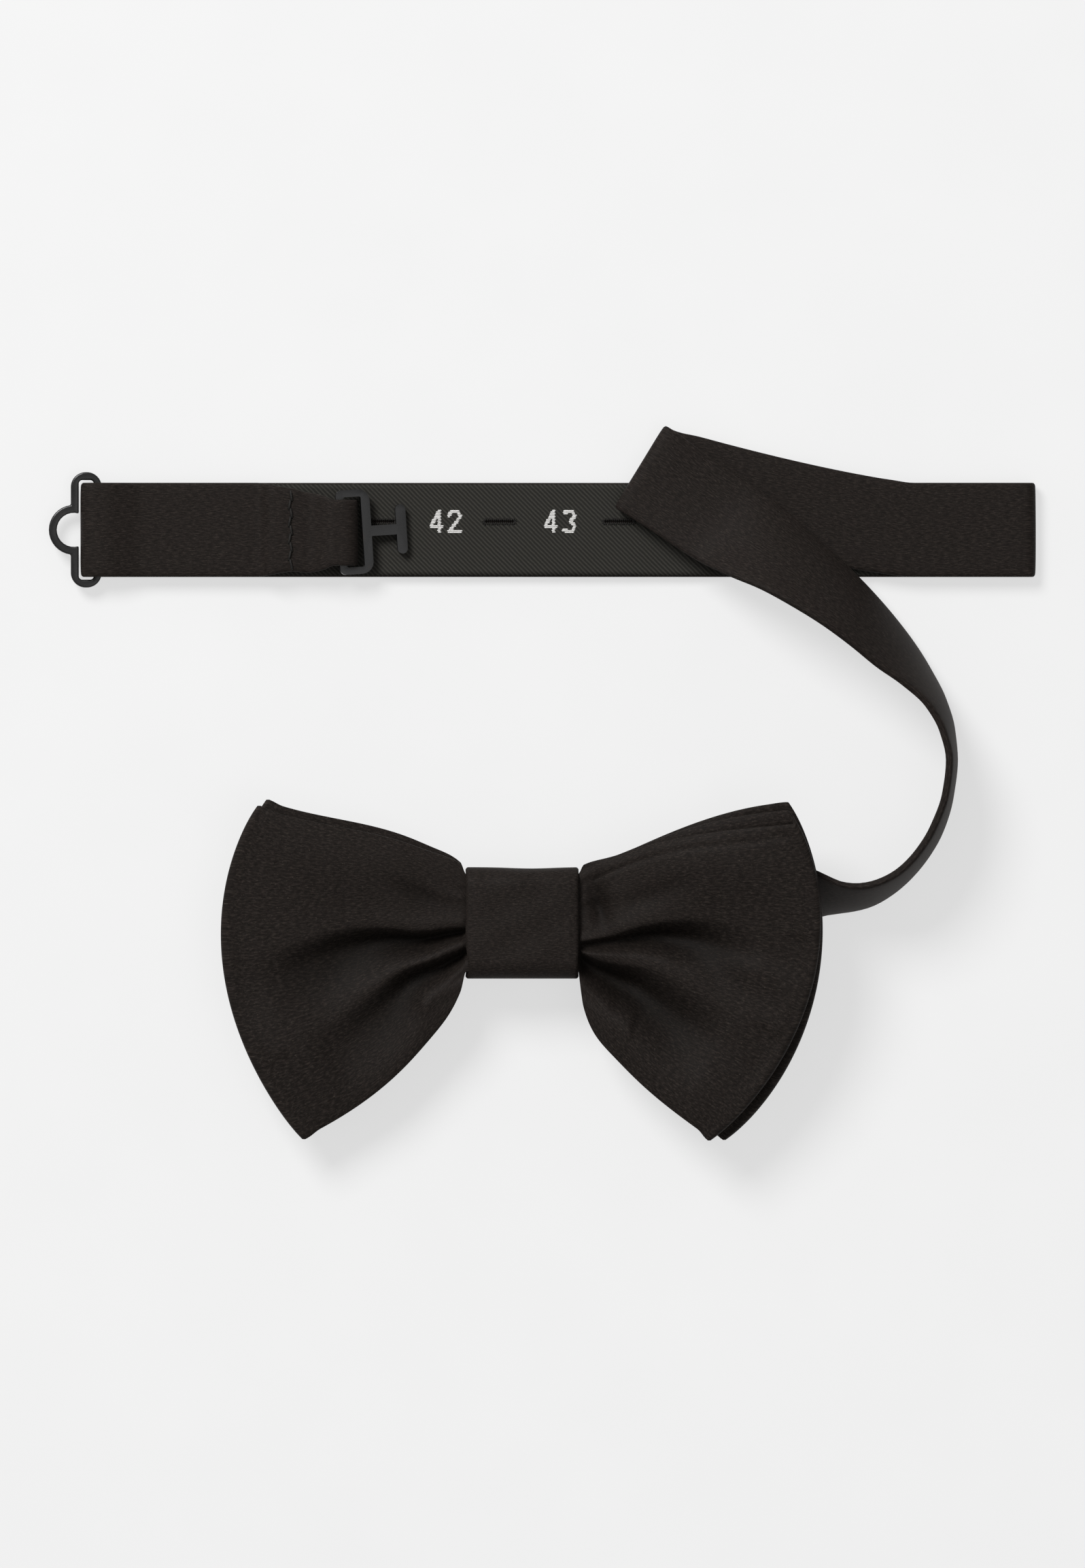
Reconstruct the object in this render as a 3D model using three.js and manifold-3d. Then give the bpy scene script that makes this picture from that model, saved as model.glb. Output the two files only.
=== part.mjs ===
// Pre-tied bow tie on an adjustable neck band, laid face up on a table. Millimetres.
// +X runs along the bow, +Y from the bow towards the straight part of the band, and +Z away
// from the table. The origin is the centre of the knot's flat back.
//
// The neck band is one long strip. It starts as a short tab round the catch hook, runs through
// the knot and out behind the right wing, curls round on edge, folds twice into three layers,
// runs back to the left and turns round the eye. Its end, the tail, comes back on top of it
// and holds the T hook, which buttons into a size tape.

import * as THREE from "three";
import { mergeVertices } from "three/addons/utils/BufferGeometryUtils.js";
import Module from "manifold-3d";

const wasm = await Module();
wasm.setup();

// ---------------------------------------------------------------- driving dimensions

const GAP = 0.3; // clearance between pieces that touch
const THREAD = 0.3; // sewing thread
const LAID_ON = 0.05; // clearance of a flat trim on the cloth under it

// Bow
const BOW_SPAN = 101.2;
const WING_DROP = 36.4; // knot centre down to the pointed tips
const WING_RISE = 20.4; // knot centre up to the top corners
const BOW_THICK = 3.5; // one folded panel where it is gathered in the knot
const EDGE_THICK = 1.8; // the same panel at its outer fold
const PLY_GATHERED = 0.9; // satin of one ply in the knot
const PLY_EDGE = 0.5; // satin of one ply at the outer fold
const LINING_EASE = 0.25; // room each side of the bow's interlining

// Knot
const KNOT_WIDTH = 19;
const KNOT_EASE = 0.35; // room between the knot's wrap and the neck band's edges
const GATHER_EASE = 0.75; // room between the wrap and the gathered bow
const WRAP_THICK = 1;
const WRAP_BACK_ROUND = 1.4; // outer corner radius at the back
const WRAP_FRONT_ROUND = 3.2; // outer corner radius at the front
const TIE_WIDTH = 3; // thread wound round the gathers
const TIE_THICK = 0.4;

// Neck band
const BAND_WIDTH = 16;
const BAND_THICK = 1.4;
const BAND_WALL = 0.4; // satin tube round the interlining
const BAND_LINING = 0.3; // interlining thickness
const BASE_Y = 66; // middle of the straight layers
const FOLD_RIGHT_X = 86.3; // outside of the right end fold
const SETTLE_LENGTH = 20.3; // from where the second layer lies straight to that fold
const CREASE_X = 21; // middle of the slanting crease
const CREASE_Y = 75.9;
const CREASE_ANGLE = 148.6; // the band's heading into the crease, degrees
const CREASE_SKEW = 13; // how far the crease is from square to the layer under it, degrees
const MAIN_END_X = -57.7; // where the adjustable turn of the band begins
const TURN_TOP_END_X = -50.3; // where the turn's upper ply meets the tail
const TURN_X = -74.2; // outside of the fold round the eye

// Tail
const TAIL_END_X = -27.6; // outside of the loop round the T hook
const TAIL_PLY = 1.2; // the loop's ply
const TAIL_END_WIDTH = 11.2;
const TAIL_UNDER_X = -41; // end of the ply turned back under
const TAIL_SEAM_X = -38.9;

// Tab
const TAB_UNDER_X = -13.5; // end of the ply turned back under
const TAB_BAR_X = -32.75;
const TAB_SEAM_X = -18;

// Size tape
const TAPE_THICK = 0.35;
const TAPE_MARGIN = 0.35; // band showing past the tape's long edges
const TAPE_LEFT_X = -56;
const TAPE_END_GAP = 26.3; // from the tape's right end to the right end fold
const HOLE_PITCH = 20; // one collar size for every 10 mm of neck, doubled by the eye
const FIRST_HOLE_X = -43.8;
const HOLE_COUNT = 5;
const HOLE_Y = 1.4; // above the middle of the tape
const SLIT_LENGTH = 4.7;
const SLIT_WIDTH = 0.5;
const NUMERAL_PITCH = 19.2;
const FIRST_NUMERAL_X = -32;
const NUMERAL_HEIGHT = 3.4;
const NUMERAL_STROKE = 0.55;
const NUMERAL_THICK = 0.1;
const RIM = 0.45; // width of the thread worked round a buttonhole

// Flat metal fittings
const WIRE_THICK = 1.2; // thickness of the plate that the fittings are cut from
const WIRE_EASE = 0.35; // room between a fitting's bar and the fold of cloth round it
const BAR_SHIFT = 0.55; // from the middle of a fold of the band to the middle of its bar
const FRAME_EASE = 0.275; // room between a fold of the band and the far side of the frame round it
const T_BAR_SHIFT = 0.65; // the same for the tail's loop
const EYE_WIRE = 1.35;
const EYE_BUMP_RADIUS = 4.2; // outside of the half-round that the hook enters
const FRAME_ROUND = 2.5; // outer corners of the eye and of the catch hook's frame
const WINDOW_ROUND = 0.6; // corners of the window that the band passes through
const T_WIRE = 1.5;
const T_BAR = 1.2; // the bar inside the tail's loop
const T_LEAN = 3.7; // degrees, seen from above
const T_DROP = 8; // degrees that the crossbar hangs below its bar, clear of the buttonholes
const T_REACH = 10.2; // from the bar to the crossbar
const CROSSBAR_LENGTH = 8.3;
const HOOK_TONGUE = 5;
const HOOK_MOUTH = 1.5; // the gap that the eye's half-round enters

// ---------------------------------------------------------------- worked out from them

const KNOT_HEIGHT = BAND_WIDTH + 2 * (WRAP_THICK + KNOT_EASE);
const WING_EDGE_X = BOW_SPAN / 2;
const TAPE_RIGHT_X = FOLD_RIGHT_X - TAPE_END_GAP;

const TAPE_TOP = BAND_THICK + TAPE_THICK + LAID_ON;
const LAYER_2 = TAPE_TOP + GAP - LAID_ON + BAND_THICK / 2; // middle of the second layer
const LAYER_3 = LAYER_2 + BAND_THICK + GAP;
const LAYER_3_BASE = LAYER_3 - BAND_THICK / 2;
const FOLD_INNER = WIRE_THICK / 2 + WIRE_EASE; // inside radius of a fold round a fitting
const TURN_RADIUS = FOLD_INNER + BAND_THICK / 2;
const BAR_Z = BAND_THICK / 2 + TURN_RADIUS; // middle of the eye and of the catch hook
const LOOP_RADIUS = FOLD_INNER + TAIL_PLY / 2;
const LOOP_BOTTOM = TAPE_TOP + GAP;
const T_BAR_Z = LOOP_BOTTOM + TAIL_PLY / 2 + LOOP_RADIUS;

const KNOT_BAND_Z = WRAP_THICK + GAP + BAND_THICK / 2;
const TIE_BOTTOM = KNOT_BAND_Z + BAND_THICK / 2 + GAP;
const BACK_Z = TIE_BOTTOM + TIE_THICK + GAP + BOW_THICK / 2;
const FRONT_Z = BACK_Z + BOW_THICK + GAP;
const TIE_TOP = FRONT_Z + BOW_THICK / 2 + GAP + TIE_THICK;
const KNOT_DEPTH = TIE_TOP + GAP + WRAP_THICK;
const EAR_HEIGHT = KNOT_HEIGHT / 2 - WRAP_THICK - GATHER_EASE; // half height of the bow leaving the knot
const NECK_HEIGHT = EAR_HEIGHT - 2 * TIE_THICK; // half height of the bow under the tie

// ---------------------------------------------------------------- materials

const satin = new THREE.MeshStandardMaterial({ color: 0x24211f, roughness: 0.45, metalness: 0 });
const lining = new THREE.MeshStandardMaterial({ color: 0x2c2b27, roughness: 0.8, metalness: 0 });
const canvas = new THREE.MeshStandardMaterial({ color: 0x8f8a80, roughness: 0.95, metalness: 0 });
const thread = new THREE.MeshStandardMaterial({ color: 0x151413, roughness: 0.7, metalness: 0 });
const white = new THREE.MeshStandardMaterial({ color: 0xe8e6e2, roughness: 0.7, metalness: 0 });
const metal = new THREE.MeshStandardMaterial({ color: 0x242425, roughness: 0.35, metalness: 0.6 });

// ---------------------------------------------------------------- geometry helpers

const radians = THREE.MathUtils.degToRad;
const lerp = THREE.MathUtils.lerp;
const smooth = (x, from, to) => THREE.MathUtils.smoothstep(x, from, to);

// Shares the vertices of touching triangles, so that the surface is closed.
function closed(geometry) {
  geometry.deleteAttribute("normal");
  geometry.deleteAttribute("uv");
  const merged = mergeVertices(geometry, 1e-4);
  merged.computeVertexNormals();
  return merged;
}

function solidOf(geometry) {
  const merged = closed(geometry.clone());
  const mesh = new wasm.Mesh({
    numProp: 3,
    vertProperties: new Float32Array(merged.attributes.position.array),
    triVerts: new Uint32Array(merged.index.array),
  });
  return new wasm.Manifold(mesh);
}

function geometryOf(solid) {
  const mesh = solid.getMesh();
  const geometry = new THREE.BufferGeometry();
  geometry.setAttribute("position", new THREE.BufferAttribute(mesh.vertProperties, 3));
  geometry.setIndex(new THREE.BufferAttribute(mesh.triVerts, 1));
  geometry.computeVertexNormals();
  return geometry;
}

const cut = (geometry, ...tools) =>
  geometryOf(tools.reduce((body, tool) => body.subtract(solidOf(tool)), solidOf(geometry)));

const join = (geometry, ...others) =>
  geometryOf(others.reduce((body, other) => body.add(solidOf(other)), solidOf(geometry)));

// A box of one unit, cut into steps along X and Y, for bending into a strip of cloth. The
// quads of its underside are split along the same diagonals as those of its top, so that a
// twisted strip keeps its thickness.
function slab(alongSteps, acrossSteps) {
  const geometry = new THREE.BoxGeometry(1, 1, 1, alongSteps, acrossSteps, 1);
  const index = geometry.index;
  const underside = geometry.groups[5];
  for (let i = underside.start; i < underside.start + underside.count; i += 6) {
    const [a, b, d, c] = [0, 1, 2, 4].map((k) => index.getX(i + k));
    [a, b, c, a, c, d].forEach((corner, k) => index.setX(i + k, corner));
  }
  return geometry;
}

// A plate cut from a flat outline in X and Y, its middle at height z.
function plate(shape, thick, z, curveSegments = 8) {
  const geometry = new THREE.ExtrudeGeometry(shape, { depth: thick, bevelEnabled: false, curveSegments });
  geometry.translate(0, 0, z - thick / 2);
  return geometry;
}

// A rectangle with its own corner radius at the low and at the high side, for rings and frames.
function roundedOutline(target, halfX, lowY, highY, lowRadius, highRadius = lowRadius, middleX = 0) {
  const quarter = Math.PI / 2;
  const lowX = halfX - lowRadius;
  const highX = halfX - highRadius;
  target.absarc(middleX + lowX, lowY + lowRadius, lowRadius, -quarter, 0);
  target.absarc(middleX + highX, highY - highRadius, highRadius, 0, quarter);
  target.absarc(middleX - highX, highY - highRadius, highRadius, quarter, 2 * quarter);
  target.absarc(middleX - lowX, lowY + lowRadius, lowRadius, 2 * quarter, 3 * quarter);
  target.closePath();
  return target;
}

// ---------------------------------------------------------------- strips of band
//
// A station is one cross-section of a strip: its middle, the unit direction across it, its
// normal, its width and thickness, and how far it is curled round from edge to edge.

// A station that lies at an angle. face is 1 with the normal up and -1 with it down; tilt
// raises the far edge of the section.
function station({ x, y, z, across, face = 1, tilt = 0, curl = 0, width = BAND_WIDTH, thick = BAND_THICK }) {
  const flat = new THREE.Vector3(Math.cos(across), Math.sin(across), 0);
  const up = new THREE.Vector3(0, 0, face);
  return {
    at: new THREE.Vector3(x, y, z),
    across: flat.clone().multiplyScalar(Math.cos(tilt)).addScaledVector(up, Math.sin(tilt)),
    normal: up.clone().multiplyScalar(Math.cos(tilt)).addScaledVector(flat, -Math.sin(tilt)),
    width,
    thick,
    curl,
  };
}

function sectionPoint({ at, across, normal, width, thick, curl }, w, n) {
  const turn = curl * w;
  const along = curl ? (width * Math.sin(turn)) / curl : width * w;
  const lift = curl ? (width * (1 - Math.cos(turn))) / curl : 0;
  const point = at.clone().addScaledVector(across, along - n * thick * Math.sin(turn));
  return point.addScaledVector(normal, lift + n * thick * Math.cos(turn));
}

// Sets a section down so that its lowest corner is at height z.
function settled(section, z) {
  const corners = [[-0.5, -0.5], [-0.5, 0.5], [0.5, -0.5], [0.5, 0.5]];
  const lowest = Math.min(...corners.map(([w, n]) => sectionPoint(section, w, n).z));
  section.at.z += z - lowest;
  return section;
}

// Half a turn of a strip about a line through (x, y, z) across it. up is 1 when the strip comes
// in above that line and -1 when it comes in below it.
function fold({ x, y, z, across, heading, radius, up, face, width, thick, steps = 6 }) {
  const ahead = new THREE.Vector3(Math.cos(heading), Math.sin(heading), 0);
  const start = new THREE.Vector3(0, 0, up);
  const stations = [];
  for (let i = 0; i <= steps; i++) {
    const turn = (Math.PI * i) / steps;
    const out = ahead.clone().multiplyScalar(Math.sin(turn)).addScaledVector(start, Math.cos(turn));
    const section = station({ x, y, z, across, width, thick });
    section.at.addScaledVector(out, radius);
    section.normal.copy(out).multiplyScalar(face * up);
    stations.push(section);
  }
  return stations;
}

function strip(stations, acrossSteps = 1) {
  const last = stations.length - 1;
  const geometry = slab(last, acrossSteps);
  const position = geometry.attributes.position;
  for (let i = 0; i < position.count; i++) {
    const section = stations[Math.round((position.getX(i) + 0.5) * last)];
    const point = sectionPoint(section, position.getY(i), position.getZ(i));
    position.setXYZ(i, point.x, point.y, point.z);
  }
  return geometry;
}

const resized = (stations, lessWidth, thick) =>
  stations.map((section) => ({ ...section, width: section.width - lessWidth, thick }));

// Moves the two end sections along the strip: out with a positive length, in with a negative.
function stretched(stations, length) {
  const copy = stations.map((section) => ({ ...section, at: section.at.clone() }));
  const last = copy.length - 1;
  const first = stations[0].at.clone().sub(stations[1].at).setLength(length);
  const final = stations[last].at.clone().sub(stations[last - 1].at).setLength(length);
  copy[0].at.addScaledVector(first, 1);
  copy[last].at.addScaledVector(final, 1);
  return copy;
}

// ---------------------------------------------------------------- neck band

const LEFTWARD = Math.PI;
const ACROSS_UP = Math.PI / 2;
const ACROSS_DOWN = -Math.PI / 2;

// How far from the middle of a fold round a bar the upper ply is still at full height, is half
// way down, and lies flat.
const EASE_DOWN = { level: 1.9, half: 5, flat: 8 };

// The tab: in along the table to the catch hook's bar, round it and back on top.
function tabStations() {
  const flat = { y: 0, across: ACROSS_UP };
  const foldX = TAB_BAR_X - BAR_SHIFT;
  const top = BAND_THICK * 1.5 + GAP;
  const topOfFold = BAR_Z + TURN_RADIUS;
  const turn = fold({
    x: foldX, y: 0, z: BAR_Z,
    across: ACROSS_UP, heading: LEFTWARD, radius: TURN_RADIUS, up: -1, face: -1,
  });
  return [
    station({ ...flat, x: TAB_UNDER_X, z: BAND_THICK / 2, face: -1 }),
    station({ ...flat, x: foldX + EASE_DOWN.half, z: BAND_THICK / 2, face: -1 }),
    ...turn,
    station({ ...flat, x: foldX + EASE_DOWN.level, z: topOfFold }),
    station({ ...flat, x: foldX + EASE_DOWN.half, z: lerp(topOfFold, top, 0.5) }),
    station({ ...flat, x: foldX + EASE_DOWN.flat, z: top }),
    station({ ...flat, x: TAB_UNDER_X + 1, z: top }),
    station({ ...flat, x: -KNOT_WIDTH / 2, z: KNOT_BAND_Z }),
    station({ ...flat, x: KNOT_WIDTH / 2, z: KNOT_BAND_Z }),
  ];
}

// The band behind the right wing and round the curl: where its middle is in plan, its heading
// and tilt in degrees, its curl, and the height of its lower edge.
const CURL = [
  { x: 9.5, y: 0, heading: 0, tilt: 0, curl: 0, base: WRAP_THICK + GAP },
  { x: 22, y: 1.2, heading: 7, tilt: 2, curl: 0, base: 1.2 },
  { x: 34, y: 2.9, heading: 9, tilt: 14, curl: 0, base: 0.6 },
  { x: WING_EDGE_X - 7.6, y: 4, heading: 10, tilt: 38, curl: -0.4, base: 0.1 },
  { x: WING_EDGE_X - 1.1, y: 4.1, heading: 12, tilt: 60, curl: -0.7, base: 0 },
  { x: WING_EDGE_X + 3.7, y: 3.6, heading: 15, tilt: 73, curl: -0.5, base: 0 },
  { x: WING_EDGE_X + 8, y: 4.4, heading: 23, tilt: 78, curl: -0.3, base: 0 },
  { x: WING_EDGE_X + 13.8, y: 8, heading: 42, tilt: 83, curl: -0.2, base: 0 },
  { x: WING_EDGE_X + 19.3, y: 15.7, heading: 64, tilt: 85, curl: -0.2, base: 0 },
  { x: WING_EDGE_X + 21.8, y: 27.4, heading: 91, tilt: 87, curl: -0.2, base: 0 },
  { x: WING_EDGE_X + 19.6, y: 37.2, heading: 111, tilt: 80, curl: -0.5, base: 0 },
  { x: WING_EDGE_X + 12.3, y: 45.9, heading: 127, tilt: 63, curl: -0.5, base: 0.8 },
  { x: WING_EDGE_X + 3.7, y: 53.9, heading: 134, tilt: 52, curl: -0.4, base: LAYER_3_BASE - 0.35 },
  { x: CREASE_X + 23.3, y: 61, heading: 141, tilt: 38, curl: -0.2, base: LAYER_3_BASE + 0.25 },
  { x: CREASE_X + 11.8, y: 67.9, heading: 147, tilt: 8, curl: 0, base: LAYER_3_BASE },
  { x: CREASE_X, y: CREASE_Y, heading: CREASE_ANGLE, tilt: 0, curl: 0, base: LAYER_3_BASE },
];
const CURL_STEPS = 2; // sections between two of those places

function curlStations() {
  const plan = new THREE.CatmullRomCurve3(CURL.map((p) => new THREE.Vector3(p.x, p.y, p.base)));
  const turn = new THREE.CatmullRomCurve3(CURL.map((p) => new THREE.Vector3(p.heading, p.tilt, p.curl)));
  const count = (CURL.length - 1) * CURL_STEPS;
  const stations = [];
  for (let i = 1; i <= count; i++) {
    const place = plan.getPoint(i / count);
    const angles = turn.getPoint(i / count);
    const section = station({
      x: place.x,
      y: place.y,
      z: 0,
      across: radians(angles.x + 90),
      tilt: radians(Math.max(angles.y, 0)),
      curl: Math.min(angles.z, 0),
      width: i === count ? BAND_WIDTH / Math.cos(radians(CREASE_SKEW)) : BAND_WIDTH,
    });
    stations.push(settled(section, Math.max(place.z, 0)));
  }
  return stations;
}

// The second layer: from the crease to the right end, settling on the straight base.
function secondLayer() {
  const straightX = FOLD_RIGHT_X - SETTLE_LENGTH;
  const squareBy = 14; // the crease's skew is gone by here
  const rise = CREASE_Y - BASE_Y;
  const stations = [];
  const count = 8;
  for (let i = 1; i <= count; i++) {
    const x = lerp(CREASE_X, straightX, i / count);
    const t = (straightX - x) / (straightX - CREASE_X);
    const heading = -Math.atan((1.5 * rise * Math.sqrt(t)) / (straightX - CREASE_X));
    const skew = radians(CREASE_SKEW) * (1 - smooth(x, CREASE_X, CREASE_X + squareBy));
    stations.push(station({
      x,
      y: BASE_Y + rise * t ** 1.5,
      z: LAYER_2,
      across: heading + ACROSS_DOWN - skew,
      face: -1,
      width: BAND_WIDTH / Math.cos(skew),
    }));
  }
  return stations;
}

function bandStations() {
  const creaseAcross = radians(CREASE_ANGLE + 90);
  const curl = curlStations();
  const crease = fold({
    x: CREASE_X,
    y: CREASE_Y,
    z: (LAYER_2 + LAYER_3) / 2,
    across: creaseAcross,
    heading: radians(CREASE_ANGLE),
    radius: (LAYER_3 - LAYER_2) / 2,
    up: 1,
    face: 1,
    width: BAND_WIDTH / Math.cos(radians(CREASE_SKEW)),
  });
  const endRadius = (LAYER_2 - BAND_THICK / 2) / 2;
  const end = fold({
    x: FOLD_RIGHT_X - endRadius - BAND_THICK / 2,
    y: BASE_Y,
    z: BAND_THICK / 2 + endRadius,
    across: ACROSS_DOWN,
    heading: 0,
    radius: endRadius,
    up: 1,
    face: -1,
  });
  const base = station({ x: MAIN_END_X, y: BASE_Y, z: BAND_THICK / 2, across: ACROSS_DOWN });
  return [...tabStations(), ...curl, ...crease.slice(1), ...secondLayer(), ...end, base];
}

function neckBand() {
  const stations = bandStations();
  const cavity = resized(stretched(stations, 1), 2 * BAND_WALL, BAND_THICK - 2 * BAND_WALL);
  return cut(strip(stations, 2), strip(cavity, 2));
}

function bandInterlining() {
  const ease = 0.3;
  const stations = stretched(bandStations(), -1);
  return strip(resized(stations, 2 * BAND_WALL + 2 * ease, BAND_LINING), 2);
}

// ---------------------------------------------------------------- turn round the eye, and tail

const EYE_FOLD_X = TURN_X + TURN_RADIUS + BAND_THICK / 2;
const EYE_BAR_X = EYE_FOLD_X + BAR_SHIFT;

function turnStations() {
  const flat = { y: BASE_Y, across: ACROSS_DOWN };
  const topOfFold = BAR_Z + TURN_RADIUS;
  const turn = fold({
    x: EYE_FOLD_X, y: BASE_Y, z: BAR_Z,
    across: ACROSS_DOWN, heading: LEFTWARD, radius: TURN_RADIUS, up: -1, face: 1,
  });
  return [
    station({ ...flat, x: MAIN_END_X - GAP, z: BAND_THICK / 2 }),
    ...turn,
    station({ ...flat, x: EYE_FOLD_X + EASE_DOWN.level, z: topOfFold, face: -1 }),
    station({ ...flat, x: EYE_FOLD_X + EASE_DOWN.half, z: lerp(topOfFold, LAYER_2, 0.5), face: -1 }),
    station({ ...flat, x: EYE_FOLD_X + EASE_DOWN.flat, z: LAYER_2, face: -1 }),
    station({ ...flat, x: TURN_TOP_END_X, z: LAYER_2, face: -1 }),
  ];
}

// The tail lies flat, rises over its own turned-back ply and loops round the T hook's bar.
const TAIL_LOWER = 0.5; // how far the loop's middle is below the band's, seen from above
const TAIL_RAMP = 3.5; // the length in which the tail rises over its turned-back end
const LOOP_RISE = { start: 6, high: 3.2, level: 2 }; // ways before the loop's middle
const TAIL_TOP_PLY = LOOP_BOTTOM + TAIL_PLY + GAP + BAND_THICK / 2;

function tailStations() {
  const loopX = TAIL_END_X - LOOP_RADIUS - TAIL_PLY / 2;
  const slimTop = TAIL_TOP_PLY - (BAND_THICK - TAIL_PLY) / 2;
  const loopTop = T_BAR_Z + LOOP_RADIUS;
  const narrowed = (share) => lerp(BAND_WIDTH, TAIL_END_WIDTH, share);
  const flat = { y: BASE_Y, across: ACROSS_DOWN, face: -1 };
  const slim = { ...flat, y: BASE_Y - TAIL_LOWER, width: TAIL_END_WIDTH, thick: TAIL_PLY };
  const under = { ...slim, z: LOOP_BOTTOM + TAIL_PLY / 2, face: 1 };
  const loop = fold({ ...slim, x: loopX, z: T_BAR_Z, heading: 0, radius: LOOP_RADIUS, up: 1 });
  return [
    station({ ...flat, x: TURN_TOP_END_X + GAP, z: LAYER_2 }),
    station({ ...flat, x: TAIL_UNDER_X - TAIL_RAMP, z: LAYER_2 }),
    station({ ...flat, x: TAIL_UNDER_X - TAIL_RAMP / 4, z: TAIL_TOP_PLY, width: narrowed(1 / 6) }),
    station({ ...flat, x: TAIL_SEAM_X, z: TAIL_TOP_PLY, width: narrowed(3 / 8) }),
    station({ ...slim, x: loopX - LOOP_RISE.start, z: slimTop, width: narrowed(1 / 2) }),
    station({ ...slim, x: loopX - LOOP_RISE.high, z: lerp(slimTop, loopTop, 3 / 4), width: narrowed(3 / 4) }),
    station({ ...slim, x: loopX - LOOP_RISE.level, z: loopTop }),
    ...loop,
    station({ ...under, x: loopX - LOOP_RISE.high }),
    station({ ...under, x: TAIL_UNDER_X }),
  ];
}

// ---------------------------------------------------------------- bow
//
// Each panel is a strip folded into a flat loop: it starts at the middle of its back, runs out
// round one outer edge, across the front and round the other edge, and ends where it began.
// Outlines are in shares of the half span (X) and of the wing's drop or rise (Y), each edge
// one cubic Bezier curve given by its two inner handles and its end.

const OUTLINES = {
  front_left: {
    top: [[0.394, 0.8], [0.653, 0.74]], corner: [0.885, 0.96],
    bottom: [[0.291, -0.602], [0.491, -0.83]], tip: [0.737, -0.995],
    outer: [[0.994, -0.555], [1.097, 0.04]],
  },
  front_right: {
    top: [[0.39, 0.68], [0.6, 0.76]], corner: [0.915, 0.81],
    bottom: [[0.212, -0.592], [0.452, -0.818]], tip: [0.634, -1],
    outer: [[0.96, -0.62], [1.09, 0]],
  },
  back_left: {
    top: [[0.377, 0.87], [0.629, 0.79]], corner: [0.856, 1.01],
    bottom: [[0.291, -0.59], [0.49, -0.81]], tip: [0.72, -0.965],
    outer: [[0.975, -0.54], [1.075, 0.05]],
  },
  back_right: {
    top: [[0.414, 0.65], [0.631, 0.95]], corner: [0.89, 0.99],
    bottom: [[0.225, -0.58], [0.47, -0.8]], tip: [0.694, -0.997],
    outer: [[1.01, -0.633], [1.095, 0.08]],
  },
};

// Heights of the middle of each panel at its outer corner and at its tip. The right wing's
// corners are held up by the neck band, which stands on edge where it leaves from behind them.
const BAND_CLEARED = BAND_WIDTH + 1.65;
const OUTER_HEIGHTS = {
  back_left: { corner: BACK_Z + 5.2, tip: BACK_Z + 1 },
  front_left: { corner: FRONT_Z + 3.6, tip: FRONT_Z - 0.6 },
  back_right: { corner: BAND_CLEARED, tip: BACK_Z + 4 },
  front_right: { corner: BAND_CLEARED + EDGE_THICK + 0.4, tip: FRONT_Z + 2.4 },
};
const WING_BOW = 1.15; // a wing's height rises with this power of its share

const HALF_KNOT = KNOT_WIDTH / 2;

// One wing's surface: a point for q from the knot's side (0) to the outer edge (1) and v from
// its lower edge (0) to its upper edge (1), blended between the four edge curves.
function wingSurface(name) {
  const outline = OUTLINES[name];
  const mirror = name.endsWith("left") ? -1 : 1;
  const place = ([x, y]) =>
    new THREE.Vector2(mirror * x * WING_EDGE_X, y * (y > 0 ? WING_RISE : WING_DROP));
  const lowKnot = new THREE.Vector2(mirror * HALF_KNOT, -EAR_HEIGHT);
  const highKnot = new THREE.Vector2(mirror * HALF_KNOT, EAR_HEIGHT);
  const tip = place(outline.tip);
  const corner = place(outline.corner);
  const curve = (from, [a, b], to) => new THREE.CubicBezierCurve(from, place(a), place(b), to);
  const bottom = curve(lowKnot, outline.bottom, tip);
  const top = curve(highKnot, outline.top, corner);
  const outer = curve(tip, outline.outer, corner);
  return (q, v) => {
    const point = bottom.getPoint(q).multiplyScalar(1 - v).addScaledVector(top.getPoint(q), v);
    point.addScaledVector(lowKnot.clone().lerp(highKnot, v), 1 - q);
    point.addScaledVector(outer.getPoint(v), q);
    const ends = lowKnot.clone().lerp(highKnot, v).multiplyScalar(1 - q);
    return point.sub(ends.addScaledVector(tip.clone().lerp(corner, v), q));
  };
}

// A panel as a function of its signed position along the bow, -1 at the left outer edge and 1
// at the right one, with |s| below KNOT_SHARE inside the knot.
const KNOT_SHARE = HALF_KNOT / WING_EDGE_X;

function panel(layer) {
  const wings = { "-1": wingSurface(`${layer}_left`), 1: wingSurface(`${layer}_right`) };
  const knotZ = layer === "back" ? BACK_Z : FRONT_Z;
  const share = (s) => Math.max((Math.abs(s) - KNOT_SHARE) / (1 - KNOT_SHARE), 0);
  const side = (s) => (s < 0 ? "left" : "right");
  return {
    thick: (s) => lerp(EDGE_THICK, BOW_THICK, (1 - share(s)) ** 1.5),
    ply: (s) => lerp(PLY_EDGE, PLY_GATHERED, (1 - share(s)) ** 2),
    plan(s, v) {
      if (Math.abs(s) <= KNOT_SHARE) {
        const half = lerp(NECK_HEIGHT, EAR_HEIGHT, smooth(Math.abs(s) / KNOT_SHARE, 0.25, 1));
        return new THREE.Vector2((s / KNOT_SHARE) * HALF_KNOT, lerp(-half, half, v));
      }
      return wings[Math.sign(s)](share(s), v);
    },
    middle(s, v) {
      const outer = OUTER_HEIGHTS[`${layer}_${side(s)}`];
      return lerp(knotZ, lerp(outer.tip, outer.corner, v), share(s) ** WING_BOW);
    },
  };
}

const WING_SHARES = [0.25, 0.6, 1].map((k) => k * KNOT_SHARE)
  .concat([0.1, 0.2, 0.32, 0.45, 0.58, 0.7, 0.81, 0.9].map((k) => lerp(KNOT_SHARE, 1, k)));
const ROWS = 5; // faces from a panel's lower edge to its upper edge

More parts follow.
